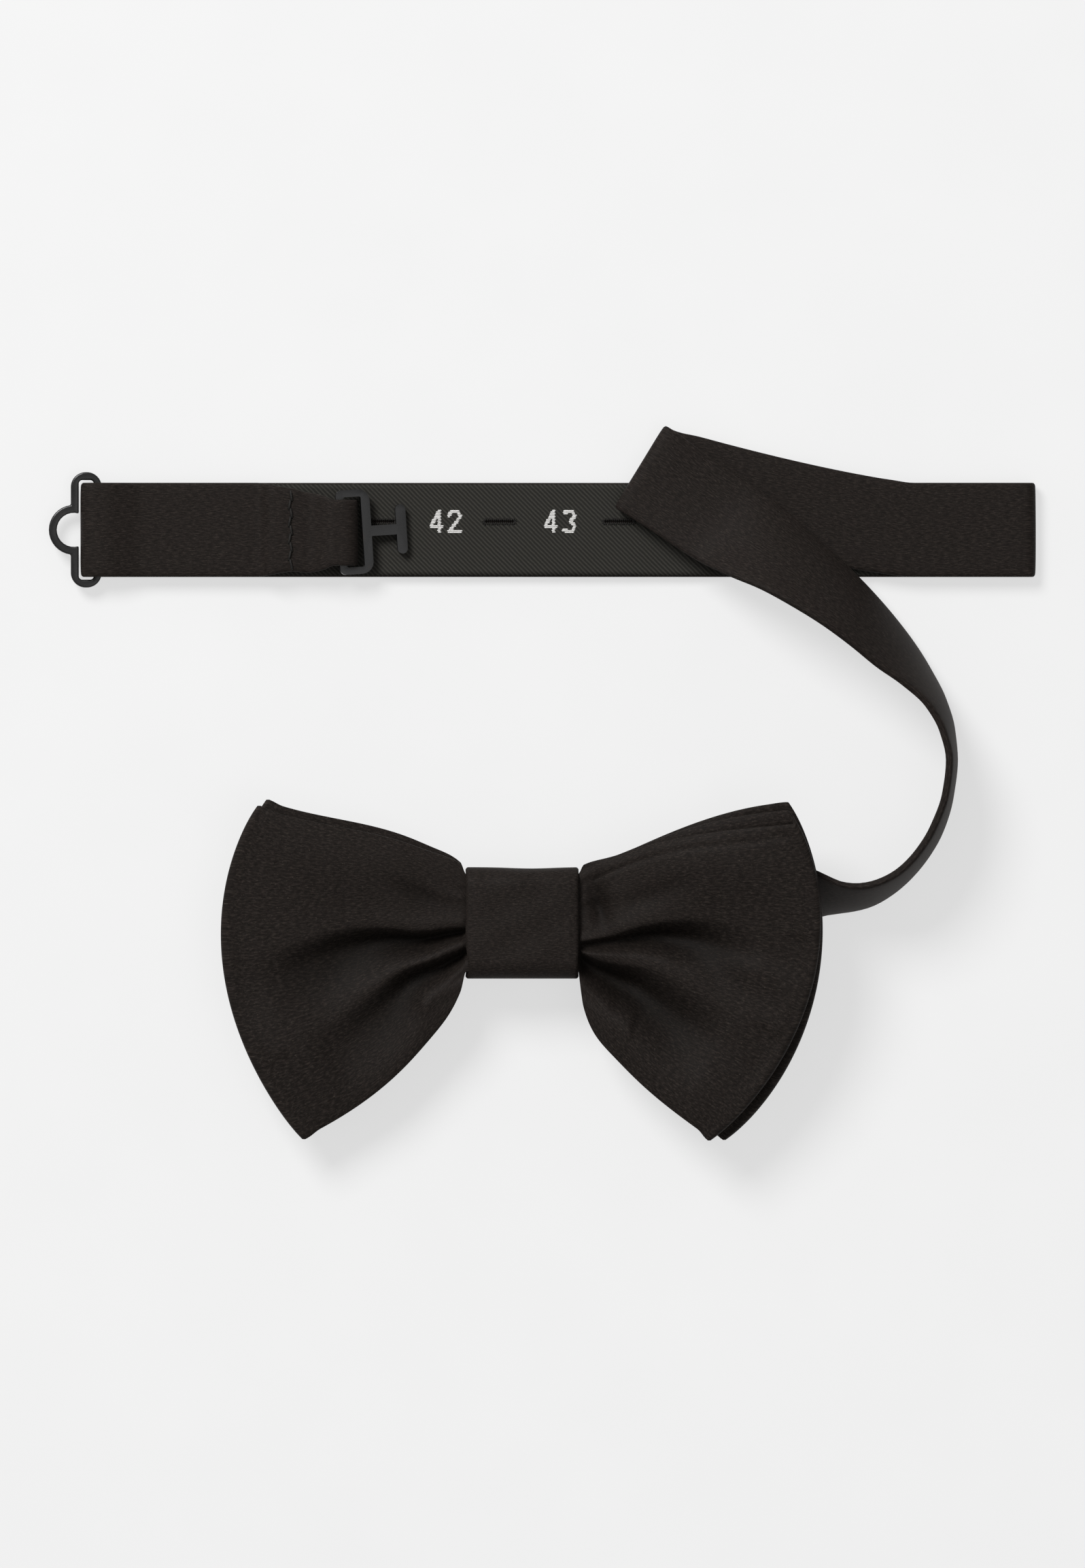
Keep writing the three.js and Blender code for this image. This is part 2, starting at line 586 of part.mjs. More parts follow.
// The points of the folded strip in order: each has s, which side of the panel's middle it is
// on (-1 back, 1 front), and the turn of the fold where it rounds an outer edge.
function loopPath() {
  const halfOpening = 0.006; // the strip's two ends meet behind the knot and don't touch
  const out = [halfOpening, ...WING_SHARES];
  const foldTurns = [0, 0.25, 0.5, 0.75, 1];
  const edge = (sign, turns) => turns.map((turn) => ({ s: sign, turn }));
  return [
    ...out.map((s) => ({ s: -s, side: -1 })),
    ...edge(-1, foldTurns),
    ...out.toReversed().slice(0, -1).map((s) => ({ s: -s, side: 1 })),
    ...out.slice(1).map((s) => ({ s, side: 1 })),
    ...edge(1, foldTurns.toReversed()),
    ...out.toReversed().map((s) => ({ s, side: -1 })),
  ];
}

function bowLoop(layer) {
  const shape = panel(layer);
  const path = loopPath();
  const last = path.length - 1;
  const geometry = slab(last, ROWS);
  const position = geometry.attributes.position;
  for (let i = 0; i < position.count; i++) {
    const { s, side, turn } = path[Math.round((position.getX(i) + 0.5) * last)];
    const v = 0.5 + position.getY(i);
    const n = position.getZ(i);
    const radius = (shape.thick(s) - shape.ply(s)) / 2 + n * shape.ply(s);
    const row = shape.plan(s, v);
    let x = row.x;
    let z = shape.middle(s, v) + (side ?? 0) * radius;
    if (turn !== undefined) {
      const angle = Math.PI * turn;
      x += Math.sign(s) * (radius * Math.sin(angle) - EDGE_THICK / 2);
      z = shape.middle(s, v) - radius * Math.cos(angle);
    }
    position.setXYZ(i, x, row.y, z);
  }
  return geometry;
}

function bowInterlining(layer) {
  const shape = panel(layer);
  const reach = 0.95; // stops inside the outer folds
  const height = 0.94; // and inside the long edges
  const out = WING_SHARES.filter((s) => s < reach);
  const path = [...out.map((s) => -s).toReversed(), ...out];
  const last = path.length - 1;
  const geometry = slab(last, ROWS);
  const position = geometry.attributes.position;
  for (let i = 0; i < position.count; i++) {
    const s = path[Math.round((position.getX(i) + 0.5) * last)];
    const v = 0.5 + height * position.getY(i);
    const thick = shape.thick(s) - 2 * shape.ply(s) - 2 * LINING_EASE;
    const row = shape.plan(s, v);
    position.setXYZ(i, row.x, row.y, shape.middle(s, v) + position.getZ(i) * thick);
  }
  return geometry;
}

// ---------------------------------------------------------------- knot

// A closed ring round the X axis, from an outline and a hole drawn in Y (across) and Z (up).
function ringAlongX(outer, hole, width) {
  outer.holes.push(hole);
  const geometry = new THREE.ExtrudeGeometry(outer, { depth: width, bevelEnabled: false, curveSegments: 5 });
  geometry.translate(0, 0, -width / 2);
  const turned = new THREE.Matrix4().makeBasis(
    new THREE.Vector3(0, 1, 0), new THREE.Vector3(0, 0, 1), new THREE.Vector3(1, 0, 0),
  );
  return geometry.applyMatrix4(turned);
}

function knotWrap() {
  const half = KNOT_HEIGHT / 2;
  const outer = roundedOutline(new THREE.Shape(), half, 0, KNOT_DEPTH, WRAP_BACK_ROUND, WRAP_FRONT_ROUND);
  const hole = roundedOutline(
    new THREE.Path(), half - WRAP_THICK, WRAP_THICK, KNOT_DEPTH - WRAP_THICK,
    WRAP_BACK_ROUND - WRAP_THICK, WRAP_FRONT_ROUND - WRAP_THICK,
  );
  return ringAlongX(outer, hole, KNOT_WIDTH);
}

function gatherTie() {
  const half = NECK_HEIGHT + GAP + TIE_THICK;
  const round = 1 + TIE_THICK;
  const outer = roundedOutline(new THREE.Shape(), half, TIE_BOTTOM, TIE_TOP, round);
  const hole = roundedOutline(
    new THREE.Path(), half - TIE_THICK, TIE_BOTTOM + TIE_THICK, TIE_TOP - TIE_THICK, round - TIE_THICK,
  );
  return ringAlongX(outer, hole, TIE_WIDTH);
}

// ---------------------------------------------------------------- size tape

const holeCentres = Array.from({ length: HOLE_COUNT }, (_, i) => FIRST_HOLE_X + i * HOLE_PITCH);

function sizeTape() {
  const tape = new THREE.BoxGeometry(TAPE_RIGHT_X - TAPE_LEFT_X, BAND_WIDTH - 2 * TAPE_MARGIN, TAPE_THICK);
  tape.translate((TAPE_LEFT_X + TAPE_RIGHT_X) / 2, BASE_Y, TAPE_TOP - TAPE_THICK / 2);
  const slits = holeCentres.map((x) => {
    const slit = new THREE.BoxGeometry(SLIT_LENGTH, SLIT_WIDTH, 3 * TAPE_THICK);
    return slit.translate(x, BASE_Y + HOLE_Y, TAPE_TOP - TAPE_THICK / 2);
  });
  return cut(tape, ...slits);
}

// Thread worked round one slit: an oval ring lying on the tape.
function buttonhole(x) {
  const halfLength = SLIT_LENGTH / 2;
  const halfWidth = SLIT_WIDTH / 2;
  const outerHalf = halfWidth + RIM;
  const ring = roundedOutline(new THREE.Shape(), halfLength + RIM, -outerHalf, outerHalf, outerHalf * 0.95);
  ring.holes.push(roundedOutline(new THREE.Path(), halfLength, -halfWidth, halfWidth, halfWidth * 0.8));
  return plate(ring, THREAD / 2, TAPE_TOP + LAID_ON + THREAD / 4, 2).translate(x, BASE_Y + HOLE_Y, 0);
}

// The two ends of each stroke of a digit, in shares of its width and height. The strokes are
// bars that overlap at their ends.
const DIGIT_WIDTH = 0.56 * NUMERAL_HEIGHT;
const DIGIT_STROKES = {
  1: [[[0.55, 0], [0.55, 1]], [[0.15, 0.75], [0.55, 1]]],
  2: [
    [[0, 0.8], [0.2, 1]], [[0.2, 1], [0.8, 1]], [[0.8, 1], [1, 0.75]],
    [[1, 0.75], [0, 0]], [[0, 0], [1, 0]],
  ],
  3: [
    [[0.05, 0.95], [0.8, 1]], [[0.8, 1], [1, 0.75]], [[1, 0.75], [0.6, 0.53]],
    [[0.6, 0.53], [1, 0.28]], [[1, 0.28], [0.75, 0]], [[0.75, 0], [0, 0.06]],
  ],
  4: [[[0.72, 0], [0.72, 1]], [[0.72, 1], [0, 0.25]], [[0, 0.25], [1, 0.25]]],
};

function digit(value, x) {
  const place = ([a, b]) => new THREE.Vector2((a - 0.5) * DIGIT_WIDTH, (b - 0.5) * NUMERAL_HEIGHT);
  const bars = DIGIT_STROKES[value].map(([from, to]) => {
    const a = place(from);
    const b = place(to);
    const bar = new THREE.BoxGeometry(a.distanceTo(b) + NUMERAL_STROKE, NUMERAL_STROKE, NUMERAL_THICK);
    bar.rotateZ(Math.atan2(b.y - a.y, b.x - a.x));
    return bar.translate((a.x + b.x) / 2, (a.y + b.y) / 2, 0);
  });
  const [first, ...others] = bars;
  return join(first, ...others).translate(x, BASE_Y + HOLE_Y, TAPE_TOP + LAID_ON + NUMERAL_THICK / 2);
}

// ---------------------------------------------------------------- metal fittings

// The eye: a long frame with round ends and a half-round bulge in its left side.
const EYE_HALF_LENGTH = BAND_WIDTH / 2 + WIRE_EASE + EYE_WIRE;
const EYE_HALF_WIDTH = (BAR_SHIFT + 1.5 * EYE_WIRE + TURN_RADIUS + BAND_THICK / 2 + FRAME_EASE) / 2;
const EYE_CENTRE_X = EYE_BAR_X + EYE_WIRE / 2 - EYE_HALF_WIDTH;
const EYE_BULGE_X = EYE_CENTRE_X - EYE_HALF_WIDTH + 0.5; // centre of the half-round

function eyeOutline(target, inset, round) {
  const quarter = Math.PI / 2;
  const half = EYE_HALF_WIDTH - inset;
  const reach = EYE_HALF_LENGTH - inset;
  const bulge = EYE_BUMP_RADIUS - inset;
  const side = Math.acos((EYE_BULGE_X - (EYE_CENTRE_X - half)) / bulge);
  target.absarc(EYE_CENTRE_X + half - round, reach - round, round, 0, quarter);
  target.absarc(EYE_CENTRE_X - half + round, reach - round, round, quarter, 2 * quarter);
  target.absarc(EYE_BULGE_X, 0, bulge, Math.PI - side, Math.PI + side);
  target.absarc(EYE_CENTRE_X - half + round, round - reach, round, 2 * quarter, 3 * quarter);
  target.absarc(EYE_CENTRE_X + half - round, round - reach, round, 3 * quarter, 4 * quarter);
  target.closePath();
  return target;
}

function eye() {
  const outer = eyeOutline(new THREE.Shape(), 0, FRAME_ROUND);
  outer.holes.push(eyeOutline(new THREE.Path(), EYE_WIRE, WINDOW_ROUND));
  return plate(outer, WIRE_THICK, BAR_Z).translate(0, BASE_Y, 0);
}

// The T hook, drawn flat with its bar on the Y axis and its crossbar at x = T_REACH.
const T_FRAME_HALF = TAIL_END_WIDTH / 2 + GAP + T_BAR;
const T_FRAME_REACH = 4.35; // from the bar's middle to the middle of the frame's far side
const T_FRAME_ROUND = 2; // the frame's corners at the crossbar's side
const T_BACK_ROUND = 1; // and at the bar's side
const T_STEM_HALF = 0.875;

function tHookFlat() {
  const quarter = Math.PI / 2;
  const left = -T_BAR / 2;
  const right = T_FRAME_REACH + T_WIRE / 2;
  const crossRound = T_WIRE / 2 + 0.1;
  const crossHalf = CROSSBAR_LENGTH / 2 - crossRound;
  const nearHalf = T_FRAME_HALF - T_FRAME_ROUND;
  const backHalf = T_FRAME_HALF - T_BACK_ROUND;
  const outer = new THREE.Shape();
  outer.absarc(right - T_FRAME_ROUND, -nearHalf, T_FRAME_ROUND, -quarter, 0);
  outer.lineTo(right, -T_STEM_HALF);
  outer.lineTo(T_REACH - crossRound, -T_STEM_HALF);
  outer.absarc(T_REACH, -crossHalf, crossRound, 2 * quarter, 4 * quarter);
  outer.absarc(T_REACH, crossHalf, crossRound, 0, 2 * quarter);
  outer.lineTo(T_REACH - crossRound, T_STEM_HALF);
  outer.lineTo(right, T_STEM_HALF);
  outer.absarc(right - T_FRAME_ROUND, nearHalf, T_FRAME_ROUND, 0, quarter);
  outer.absarc(left + T_BACK_ROUND, backHalf, T_BACK_ROUND, quarter, 2 * quarter);
  outer.absarc(left + T_BACK_ROUND, -backHalf, T_BACK_ROUND, 2 * quarter, 3 * quarter);
  outer.closePath();
  const windowHalf = (T_FRAME_REACH - T_WIRE / 2 - T_BAR / 2) / 2;
  const windowRound = WINDOW_ROUND / 2;
  const innerHalf = T_FRAME_HALF - T_BAR;
  outer.holes.push(roundedOutline(
    new THREE.Path(), windowHalf, -innerHalf, innerHalf, windowRound, windowRound, T_BAR / 2 + windowHalf,
  ));
  return plate(outer, WIRE_THICK, 0, 6);
}

const T_BAR_X = TAIL_END_X - LOOP_RADIUS - TAIL_PLY / 2 - T_BAR_SHIFT;

// The catch hook: the same long frame, with a tongue that drops, turns back and lies over itself.
const TONGUE = { level: 1.4, low: 3.6, bend: 5.4 }; // ways from its root
const TONGUE_LIFT = 0.3; // its lowest face above the table
const TONGUE_BACK = 3; // from the bend to its point

function catchHook() {
  const half = EYE_HALF_WIDTH;
  const reach = EYE_HALF_LENGTH;
  const centreX = TAB_BAR_X + EYE_WIRE / 2 - half;
  const outer = roundedOutline(new THREE.Shape(), half, -reach, reach, FRAME_ROUND);
  outer.holes.push(roundedOutline(
    new THREE.Path(), half - EYE_WIRE, EYE_WIRE - reach, reach - EYE_WIRE, WINDOW_ROUND,
  ));
  const frame = plate(outer, WIRE_THICK, BAR_Z).translate(centreX, 0, 0);
  const bend = (HOOK_MOUTH + WIRE_THICK) / 2;
  const low = WIRE_THICK / 2 + TONGUE_LIFT;
  const rootX = centreX - half + EYE_WIRE;
  const bendX = rootX - TONGUE.bend;
  const section = { y: 0, across: ACROSS_UP, width: HOOK_TONGUE, thick: WIRE_THICK, face: -1 };
  const tongue = strip([
    station({ ...section, x: rootX - EYE_WIRE / 4, z: BAR_Z }),
    station({ ...section, x: rootX - TONGUE.level, z: BAR_Z }),
    station({ ...section, x: rootX - TONGUE.low, z: low }),
    ...fold({ ...section, x: bendX, z: low + bend, heading: LEFTWARD, radius: bend, up: -1 }),
    station({ ...section, x: bendX + TONGUE_BACK, z: low + 2 * bend, face: 1, width: HOOK_TONGUE - 1 }),
  ]);
  return join(frame, tongue);
}

// ---------------------------------------------------------------- stitching

// One row of stitches across a band, as a raised line of thread just above it.
function stitchRow(length, z) {
  const shape = roundedOutline(new THREE.Shape(), THREAD, -length / 2, length / 2, THREAD * 0.6);
  return plate(shape, THREAD, z + THREAD / 2 + LAID_ON, 2);
}

// ---------------------------------------------------------------- assembly

const model = new THREE.Group();
model.name = "bow_tie";

function add(name, geometry, material, parent = model) {
  const mesh = new THREE.Mesh(closed(geometry), material);
  mesh.name = name;
  parent.add(mesh);
  return mesh;
}

add("bow_front", bowLoop("front"), satin);
add("bow_front_interlining", bowInterlining("front"), canvas);
add("bow_back", bowLoop("back"), satin);
add("bow_back_interlining", bowInterlining("back"), canvas);
add("gather_tie", gatherTie(), thread);
add("knot_wrap", knotWrap(), satin);

add("neck_band", neckBand(), satin);
add("neck_band_interlining", bandInterlining(), canvas);
add("band_turn", strip(turnStations()), satin);
add("tail", strip(tailStations(), 2), satin);

add("size_tape", sizeTape(), lining);
holeCentres.forEach((x, i) => add(`buttonhole_${i + 1}`, buttonhole(x), thread));
for (const [i, size] of [41, 42, 43, 44].entries()) {
  const centre = FIRST_NUMERAL_X + i * NUMERAL_PITCH;
  const offset = DIGIT_WIDTH / 2 + NUMERAL_STROKE;
  add(`size_${size}_tens`, digit(Math.floor(size / 10), centre - offset), white);
  add(`size_${size}_units`, digit(size % 10, centre + offset), white);
}

const tailTop = TAIL_TOP_PLY + BAND_THICK / 2;
add("tail_stitches", stitchRow(TAIL_END_WIDTH + 1.4, tailTop), thread).position.set(TAIL_SEAM_X, BASE_Y, 0);
const tabTop = 2 * BAND_THICK + GAP;
add("tab_stitches", stitchRow(BAND_WIDTH - 2, tabTop), thread).position.set(TAB_SEAM_X, 0, 0);

add("eye", eye(), metal);
add("catch_hook", catchHook(), metal);

const tHook = new THREE.Group();
tHook.position.set(T_BAR_X, BASE_Y - TAIL_LOWER, T_BAR_Z);
tHook.rotation.set(0, radians(T_DROP), radians(T_LEAN), "ZYX");
model.add(tHook);
add("t_hook", tHookFlat(), metal, tHook);

export default model;
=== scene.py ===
"""Pre-tied bow tie on an adjustable neck band, laid face up: the visual model.

The working unit is the millimetre, and meshes are written in metres. X runs along the bow, Y
towards the straight part of the band and Z away from the table, as in the CAD model.
"""
from math import atan, cos, hypot, pi, radians, sin

import bmesh
import bpy
import numpy as np
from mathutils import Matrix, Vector


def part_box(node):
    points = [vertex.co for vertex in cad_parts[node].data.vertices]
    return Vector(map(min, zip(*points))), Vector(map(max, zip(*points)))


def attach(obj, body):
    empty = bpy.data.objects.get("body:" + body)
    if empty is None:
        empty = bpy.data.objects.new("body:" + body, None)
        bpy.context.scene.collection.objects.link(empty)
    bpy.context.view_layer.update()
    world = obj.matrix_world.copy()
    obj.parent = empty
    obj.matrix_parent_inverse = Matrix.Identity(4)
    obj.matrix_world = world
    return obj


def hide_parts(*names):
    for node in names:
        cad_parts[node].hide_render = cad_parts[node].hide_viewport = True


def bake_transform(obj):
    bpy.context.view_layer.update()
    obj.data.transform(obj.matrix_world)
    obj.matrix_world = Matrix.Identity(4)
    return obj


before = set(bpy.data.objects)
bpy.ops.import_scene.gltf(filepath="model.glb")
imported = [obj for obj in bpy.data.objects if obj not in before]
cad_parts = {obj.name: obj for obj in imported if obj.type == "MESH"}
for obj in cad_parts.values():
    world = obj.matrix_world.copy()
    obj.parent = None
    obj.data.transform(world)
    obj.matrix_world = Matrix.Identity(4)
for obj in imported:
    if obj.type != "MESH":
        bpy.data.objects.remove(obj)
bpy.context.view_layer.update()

MM = 0.001


# ---- sizes taken from the frame

def box_mm(node):
    low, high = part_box(node)
    return np.array(low) / MM, np.array(high) / MM


def middle_mm(node):
    low, high = box_mm(node)
    return (low + high) / 2


KNOT_LOW, KNOT_HIGH = box_mm("knot_wrap")
TAPE_LOW, TAPE_HIGH = box_mm("size_tape")
BAND_HIGH = box_mm("neck_band")[1]
TURN_LOW, TURN_HIGH = box_mm("band_turn")
TAIL_LOW, TAIL_HIGH = box_mm("tail")
CATCH_HIGH = box_mm("catch_hook")[1]
FRONT_LOW, FRONT_HIGH = box_mm("bow_front")

BASE_Y = (TAPE_LOW[1] + TAPE_HIGH[1]) / 2
TAPE_TOP = TAPE_HIGH[2]
BAND_WIDTH = TURN_HIGH[1] - TURN_LOW[1]
BAND_THICK = 1.4
GAP = 0.3  # between two layers that lie on each other

HALF_KNOT = KNOT_HIGH[0]
WRAP_THICK = 1.0
WING_EDGE_X = (FRONT_HIGH[0] - FRONT_LOW[0] + 0.8) / 2  # the outlines' unit, past the widest place
WING_DROP = -FRONT_LOW[1]
WING_RISE = 20.4
BOW_THICK = 3.5  # a folded panel at the knot
EDGE_THICK = 1.8  # and at its outer fold
PLY_GATHERED = 0.9  # one of its two plies at the knot
PLY_EDGE = 0.5
EAR_HEIGHT = (KNOT_HIGH[1] - KNOT_LOW[1]) / 2 - WRAP_THICK - 0.2  # half the gathers, at the knot's edge
NECK_HEIGHT = EAR_HEIGHT - 1.35  # and in its middle

# The band's layers over the straight one, by the height of their middles.
LAYER_2 = TAPE_TOP + GAP - 0.05 + BAND_THICK / 2
LAYER_3 = LAYER_2 + BAND_THICK + GAP
LAYER_3_BASE = LAYER_3 - BAND_THICK / 2
BAR_ROOM = 0.95  # from the middle of a fitting's bar to the cloth folded round it
TURN_RADIUS = BAR_ROOM + BAND_THICK / 2
BAR_Z = BAND_THICK / 2 + TURN_RADIUS
EYE_FOLD_X = TURN_LOW[0] + TURN_RADIUS + BAND_THICK / 2
BAR_WIDTH, BAR_SHIFT = 1.35, 0.55  # a bar, and its middle's place past the fold's
TAB_FOLD_X = CATCH_HIGH[0] - BAR_WIDTH / 2 - BAR_SHIFT
TAB_END_X = -13.5  # where the tab is cut off, left of the knot

# The tail: its slimmer end is folded round the T hook's bar and sewn under it.
TAIL_PLY = 1.2
LOOP_RADIUS = BAR_ROOM + TAIL_PLY / 2
LOOP_BOTTOM = TAIL_LOW[2]
LOOP_X = TAIL_HIGH[0] - LOOP_RADIUS - TAIL_PLY / 2
LOOP_Z = LOOP_BOTTOM + TAIL_PLY / 2 + LOOP_RADIUS
TAIL_END_WIDTH = 11.2
TAIL_LOWER = 0.5
TAIL_UNDER_X = -41.0
TAIL_SEAM_X = -38.9
TAIL_TOP_PLY = LOOP_BOTTOM + TAIL_PLY + GAP + BAND_THICK / 2
SPLIT_X = -68.0  # where the long band's cloth ends and the tail's begins, under the tail

# Through the knot run the band and, over it, the back and the front panel.
KNOT_BAND_Z = WRAP_THICK + GAP + BAND_THICK / 2
BACK_Z = KNOT_BAND_Z + BAND_THICK / 2 + 1.0 + BOW_THICK / 2
FRONT_Z = BACK_Z + BOW_THICK + GAP

# Headings in plan
LEFTWARD = pi
ACROSS_UP = pi / 2
ACROSS_DOWN = -pi / 2


# ---- small helpers

def lerp(a, b, t):
    return a + (b - a) * t


def smooth(x, start, end):
    t = np.clip((x - start) / (end - start), 0.0, 1.0)
    return t * t * (3 - 2 * t)


def running(steps):
    return np.concatenate([[0], np.cumsum(steps)])


def unit(v):
    return v / np.maximum(np.linalg.norm(v, axis=-1, keepdims=True), 1e-12)


def mesh_object(name, vertices, faces, uvs=None):
    """A mesh from places in millimetres. uvs holds one (u, v) for each face corner, in mm."""
    mesh = bpy.data.meshes.new(name)
    mesh.from_pydata((np.asarray(vertices) * MM).tolist(), [], [list(map(int, f)) for f in faces])
    if uvs is not None:
        layer = mesh.uv_layers.new(name="UVMap")
        layer.data.foreach_set("uv", np.asarray(uvs, dtype=np.float32).ravel())
    mesh.validate()
    mesh.update()
    obj = bpy.data.objects.new(name, mesh)
    bpy.context.scene.collection.objects.link(obj)
    face_out(obj)
    mesh.polygons.foreach_set("use_smooth", [True] * len(mesh.polygons))
    return obj


def face_out(obj):
    work = bmesh.new()
    work.from_mesh(obj.data)
    if work.calc_volume(signed=True) < 0:
        bmesh.ops.reverse_faces(work, faces=work.faces)
    work.to_mesh(obj.data)
    work.free()


def skin(rings, along, around, closed=False):
    """The quads between neighbouring rings, and the (u, v) of their corners.

    along gives each ring's place on the cloth and around each point's, both in mm. Either has
    one value more than its count where it closes on itself, for the last corners.
    """
    count, size = rings.shape[:2]
    i, j = np.meshgrid(np.arange(count if closed else count - 1), np.arange(size), indexing="ij")
    ahead, beside = (i + 1) % count, (j + 1) % size
    faces = np.stack([i * size + j, ahead * size + j, ahead * size + beside, i * size + beside], -1)
    u0, u1, v0, v1 = along[i], along[i + 1], around[j], around[j + 1]
    uv = np.stack([np.stack(corner, -1) for corner in ((u0, v0), (u1, v0), (u1, v1), (u0, v1))], 2)
    return faces.reshape(-1, 4), uv.reshape(-1, 2)


def tube(name, rings, along, around):
    """A tube of cloth from rings of an even number of points, with flat ends."""
    count, size = rings.shape[:2]
    faces, uv = (part.tolist() for part in skin(rings, along, around))
    for ring, turn in ((0, 1), (count - 1, -1)):
        order = list(range(size))[::turn]
        # An end is closed by a ladder of quads between the two long sides of its ring.
        for a in range(size // 2 - 1):
            quad = [order[a], order[a + 1], order[size - 2 - a], order[size - 1 - a]]
            faces.append([ring * size + c for c in quad])
            uv += [[along[ring], around[c]] for c in quad]
    return mesh_object(name, rings.reshape(-1, 3), faces, uv)


def closed_ring(name, rings, along, around):
    """A tube that closes on itself, with its streaks across it instead of along."""
    faces, uv = skin(rings, along, around, closed=True)
    return mesh_object(name, rings.reshape(-1, 3), faces, uv[:, ::-1])


def thread(name, paths, radius, sides=6):
    """One object of round threads, each a list of points in mm, with closed ends."""
    vertices, faces = [], []
    for path in paths:
        path = np.asarray(path, dtype=float)
        ahead = unit(np.gradient(path, axis=0))
        upright = abs(ahead[:, 2]).max() >= 0.9
        side = unit(np.cross(ahead, (1.0, 0.0, 0.0) if upright else (0.0, 0.0, 1.0)))
        over = np.cross(side, ahead)
        turns = np.arange(sides) * 2 * pi / sides
        size = np.full(len(path), radius)
        size[0] = size[-1] = radius * 0.5
        first = len(vertices)
        for p, s, o, r in zip(path, side, over, size):
            vertices += [p + r * (cos(t) * s + sin(t) * o) for t in turns]
        for a in range(len(path) - 1):
            for b in range(sides):
                c = (b + 1) % sides
                faces.append([first + a * sides + b, first + a * sides + c,
                              first + (a + 1) * sides + c, first + (a + 1) * sides + b])
        faces.append([first + b for b in range(sides)][::-1])
        faces.append([first + (len(path) - 1) * sides + b for b in range(sides)])
    return mesh_object(name, vertices, faces)


# ---- materials

def node_tree(name):
    material = bpy.data.materials.new(name)
    material.use_nodes = True
    tree = material.node_tree
    return material, tree, tree.nodes["Principled BSDF"]


def link(tree, source, socket, target, name):
    tree.links.new(source.outputs[socket], target.inputs[name])


def set_inputs(node, **values):
    """Constant values for a node's own sockets; _ stands for a space in a socket's name."""
    for name, value in values.items():
        node.inputs[name.replace("_", " ")].default_value = value


def scaled_uv(tree, scale, turn=0.0, coordinates="UV"):
    place = tree.nodes.new("ShaderNodeTexCoord")
    if coordinates == "UV":
        place = tree.nodes.new("ShaderNodeUVMap")
        place.uv_map = "UVMap"
    mapping = tree.nodes.new("ShaderNodeMapping")
    set_inputs(mapping, Scale=scale, Rotation=(0, 0, turn))
    link(tree, place, coordinates, mapping, "Vector")
    return mapping


def noise(tree, scale, detail=2.0, turn=0.0, coordinates="UV"):
    mapping = scaled_uv(tree, scale, turn, coordinates)
    texture = tree.nodes.new("ShaderNodeTexNoise")
    set_inputs(texture, Scale=1.0, Detail=detail, Roughness=0.6)
    link(tree, mapping, "Vector", texture, "Vector")
    return texture


def ramp(tree, source, socket, stops):
    node = tree.nodes.new("ShaderNodeValToRGB")
    elements = node.color_ramp.elements
    for element, (place, colour) in zip(elements, (stops[0], stops[-1])):
        element.position = place
        element.color = (*colour, 1)
    for place, colour in stops[1:-1]:
        elements.new(place).color = (*colour, 1)
    link(tree, source, socket, node, "Fac")
    return node


def mixed(tree, a, a_socket, b, b_socket, share, kind="MIX"):
    node = tree.nodes.new("ShaderNodeMixRGB")
    node.blend_type = kind
    set_inputs(node, Fac=share)
    link(tree, a, a_socket, node, "Color1")
    link(tree, b, b_socket, node, "Color2")
    return node


def set_bump(tree, shader, source, socket, strength, distance):
    bump = tree.nodes.new("ShaderNodeBump")
    set_inputs(bump, Strength=strength, Distance=distance)
    link(tree, source, socket, bump, "Height")
    link(tree, bump, "Normal", shader, "Normal")


def set_range(tree, source, socket, shader, name, low, high):
    node = tree.nodes.new("ShaderNodeMapRange")
    set_inputs(node, To_Min=low, To_Max=high)
    link(tree, source, socket, node, "Value")
    link(tree, node, "Result", shader, name)


def satin_material(name, folds=False):
    """Black satin: short warm streaks along the band over a fine slanting weave, with pale flecks.

    With folds, shade is painted into the cloth's colour where its fold attribute is high, deep in a pleat.
    """
    material, tree, shader = node_tree(name)
    streaks = noise(tree, (0.9, 4.6, 1), 8)
    weave = noise(tree, (1.2, 8.0, 1), 3, turn=radians(14))
    tone = mixed(tree, streaks, "Fac", weave, "Fac", 0.45)
    colour = ramp(tree, tone, "Color", [
        (0.35, (0.007, 0.0056, 0.0048)),
        (0.5, (0.0142, 0.0113, 0.0099)),
        (0.66, (0.036, 0.0285, 0.0245)),
    ])
    specks = noise(tree, (2.4, 6.5, 1), 2, turn=radians(-8))
    flecks = ramp(tree, specks, "Fac", [(0.62, (0, 0, 0)), (0.76, (0.032, 0.027, 0.022))])
    colour = mixed(tree, colour, "Color", flecks, "Color", 1.0, kind="ADD")
    if folds:
        # Painted shade: the colour is multiplied darker where the cloth lies deep in a pleat.
        fold_shade_depth = tree.nodes.new("ShaderNodeAttribute")
        fold_shade_depth.attribute_name = "painted_fold_shade"
        shade = ramp(tree, fold_shade_depth, "Fac", [(0.0, (1, 1, 1)), (1.0, (0.42, 0.41, 0.39))])
        colour = mixed(tree, colour, "Color", shade, "Color", 1.0, kind="MULTIPLY")
    link(tree, colour, "Color", shader, "Base Color")
    set_range(tree, streaks, "Fac", shader, "Roughness", 0.5, 0.7)
    relief_map = mixed(tree, streaks, "Fac", weave, "Fac", 0.5)
    set_bump(tree, shader, relief_map, "Color", 0.3, 0.0001)
    set_inputs(shader, Specular_IOR_Level=0.06, Sheen_Weight=0.02, Sheen_Roughness=0.4,
               Sheen_Tint=(1.0, 0.86, 0.78, 1))
    return material


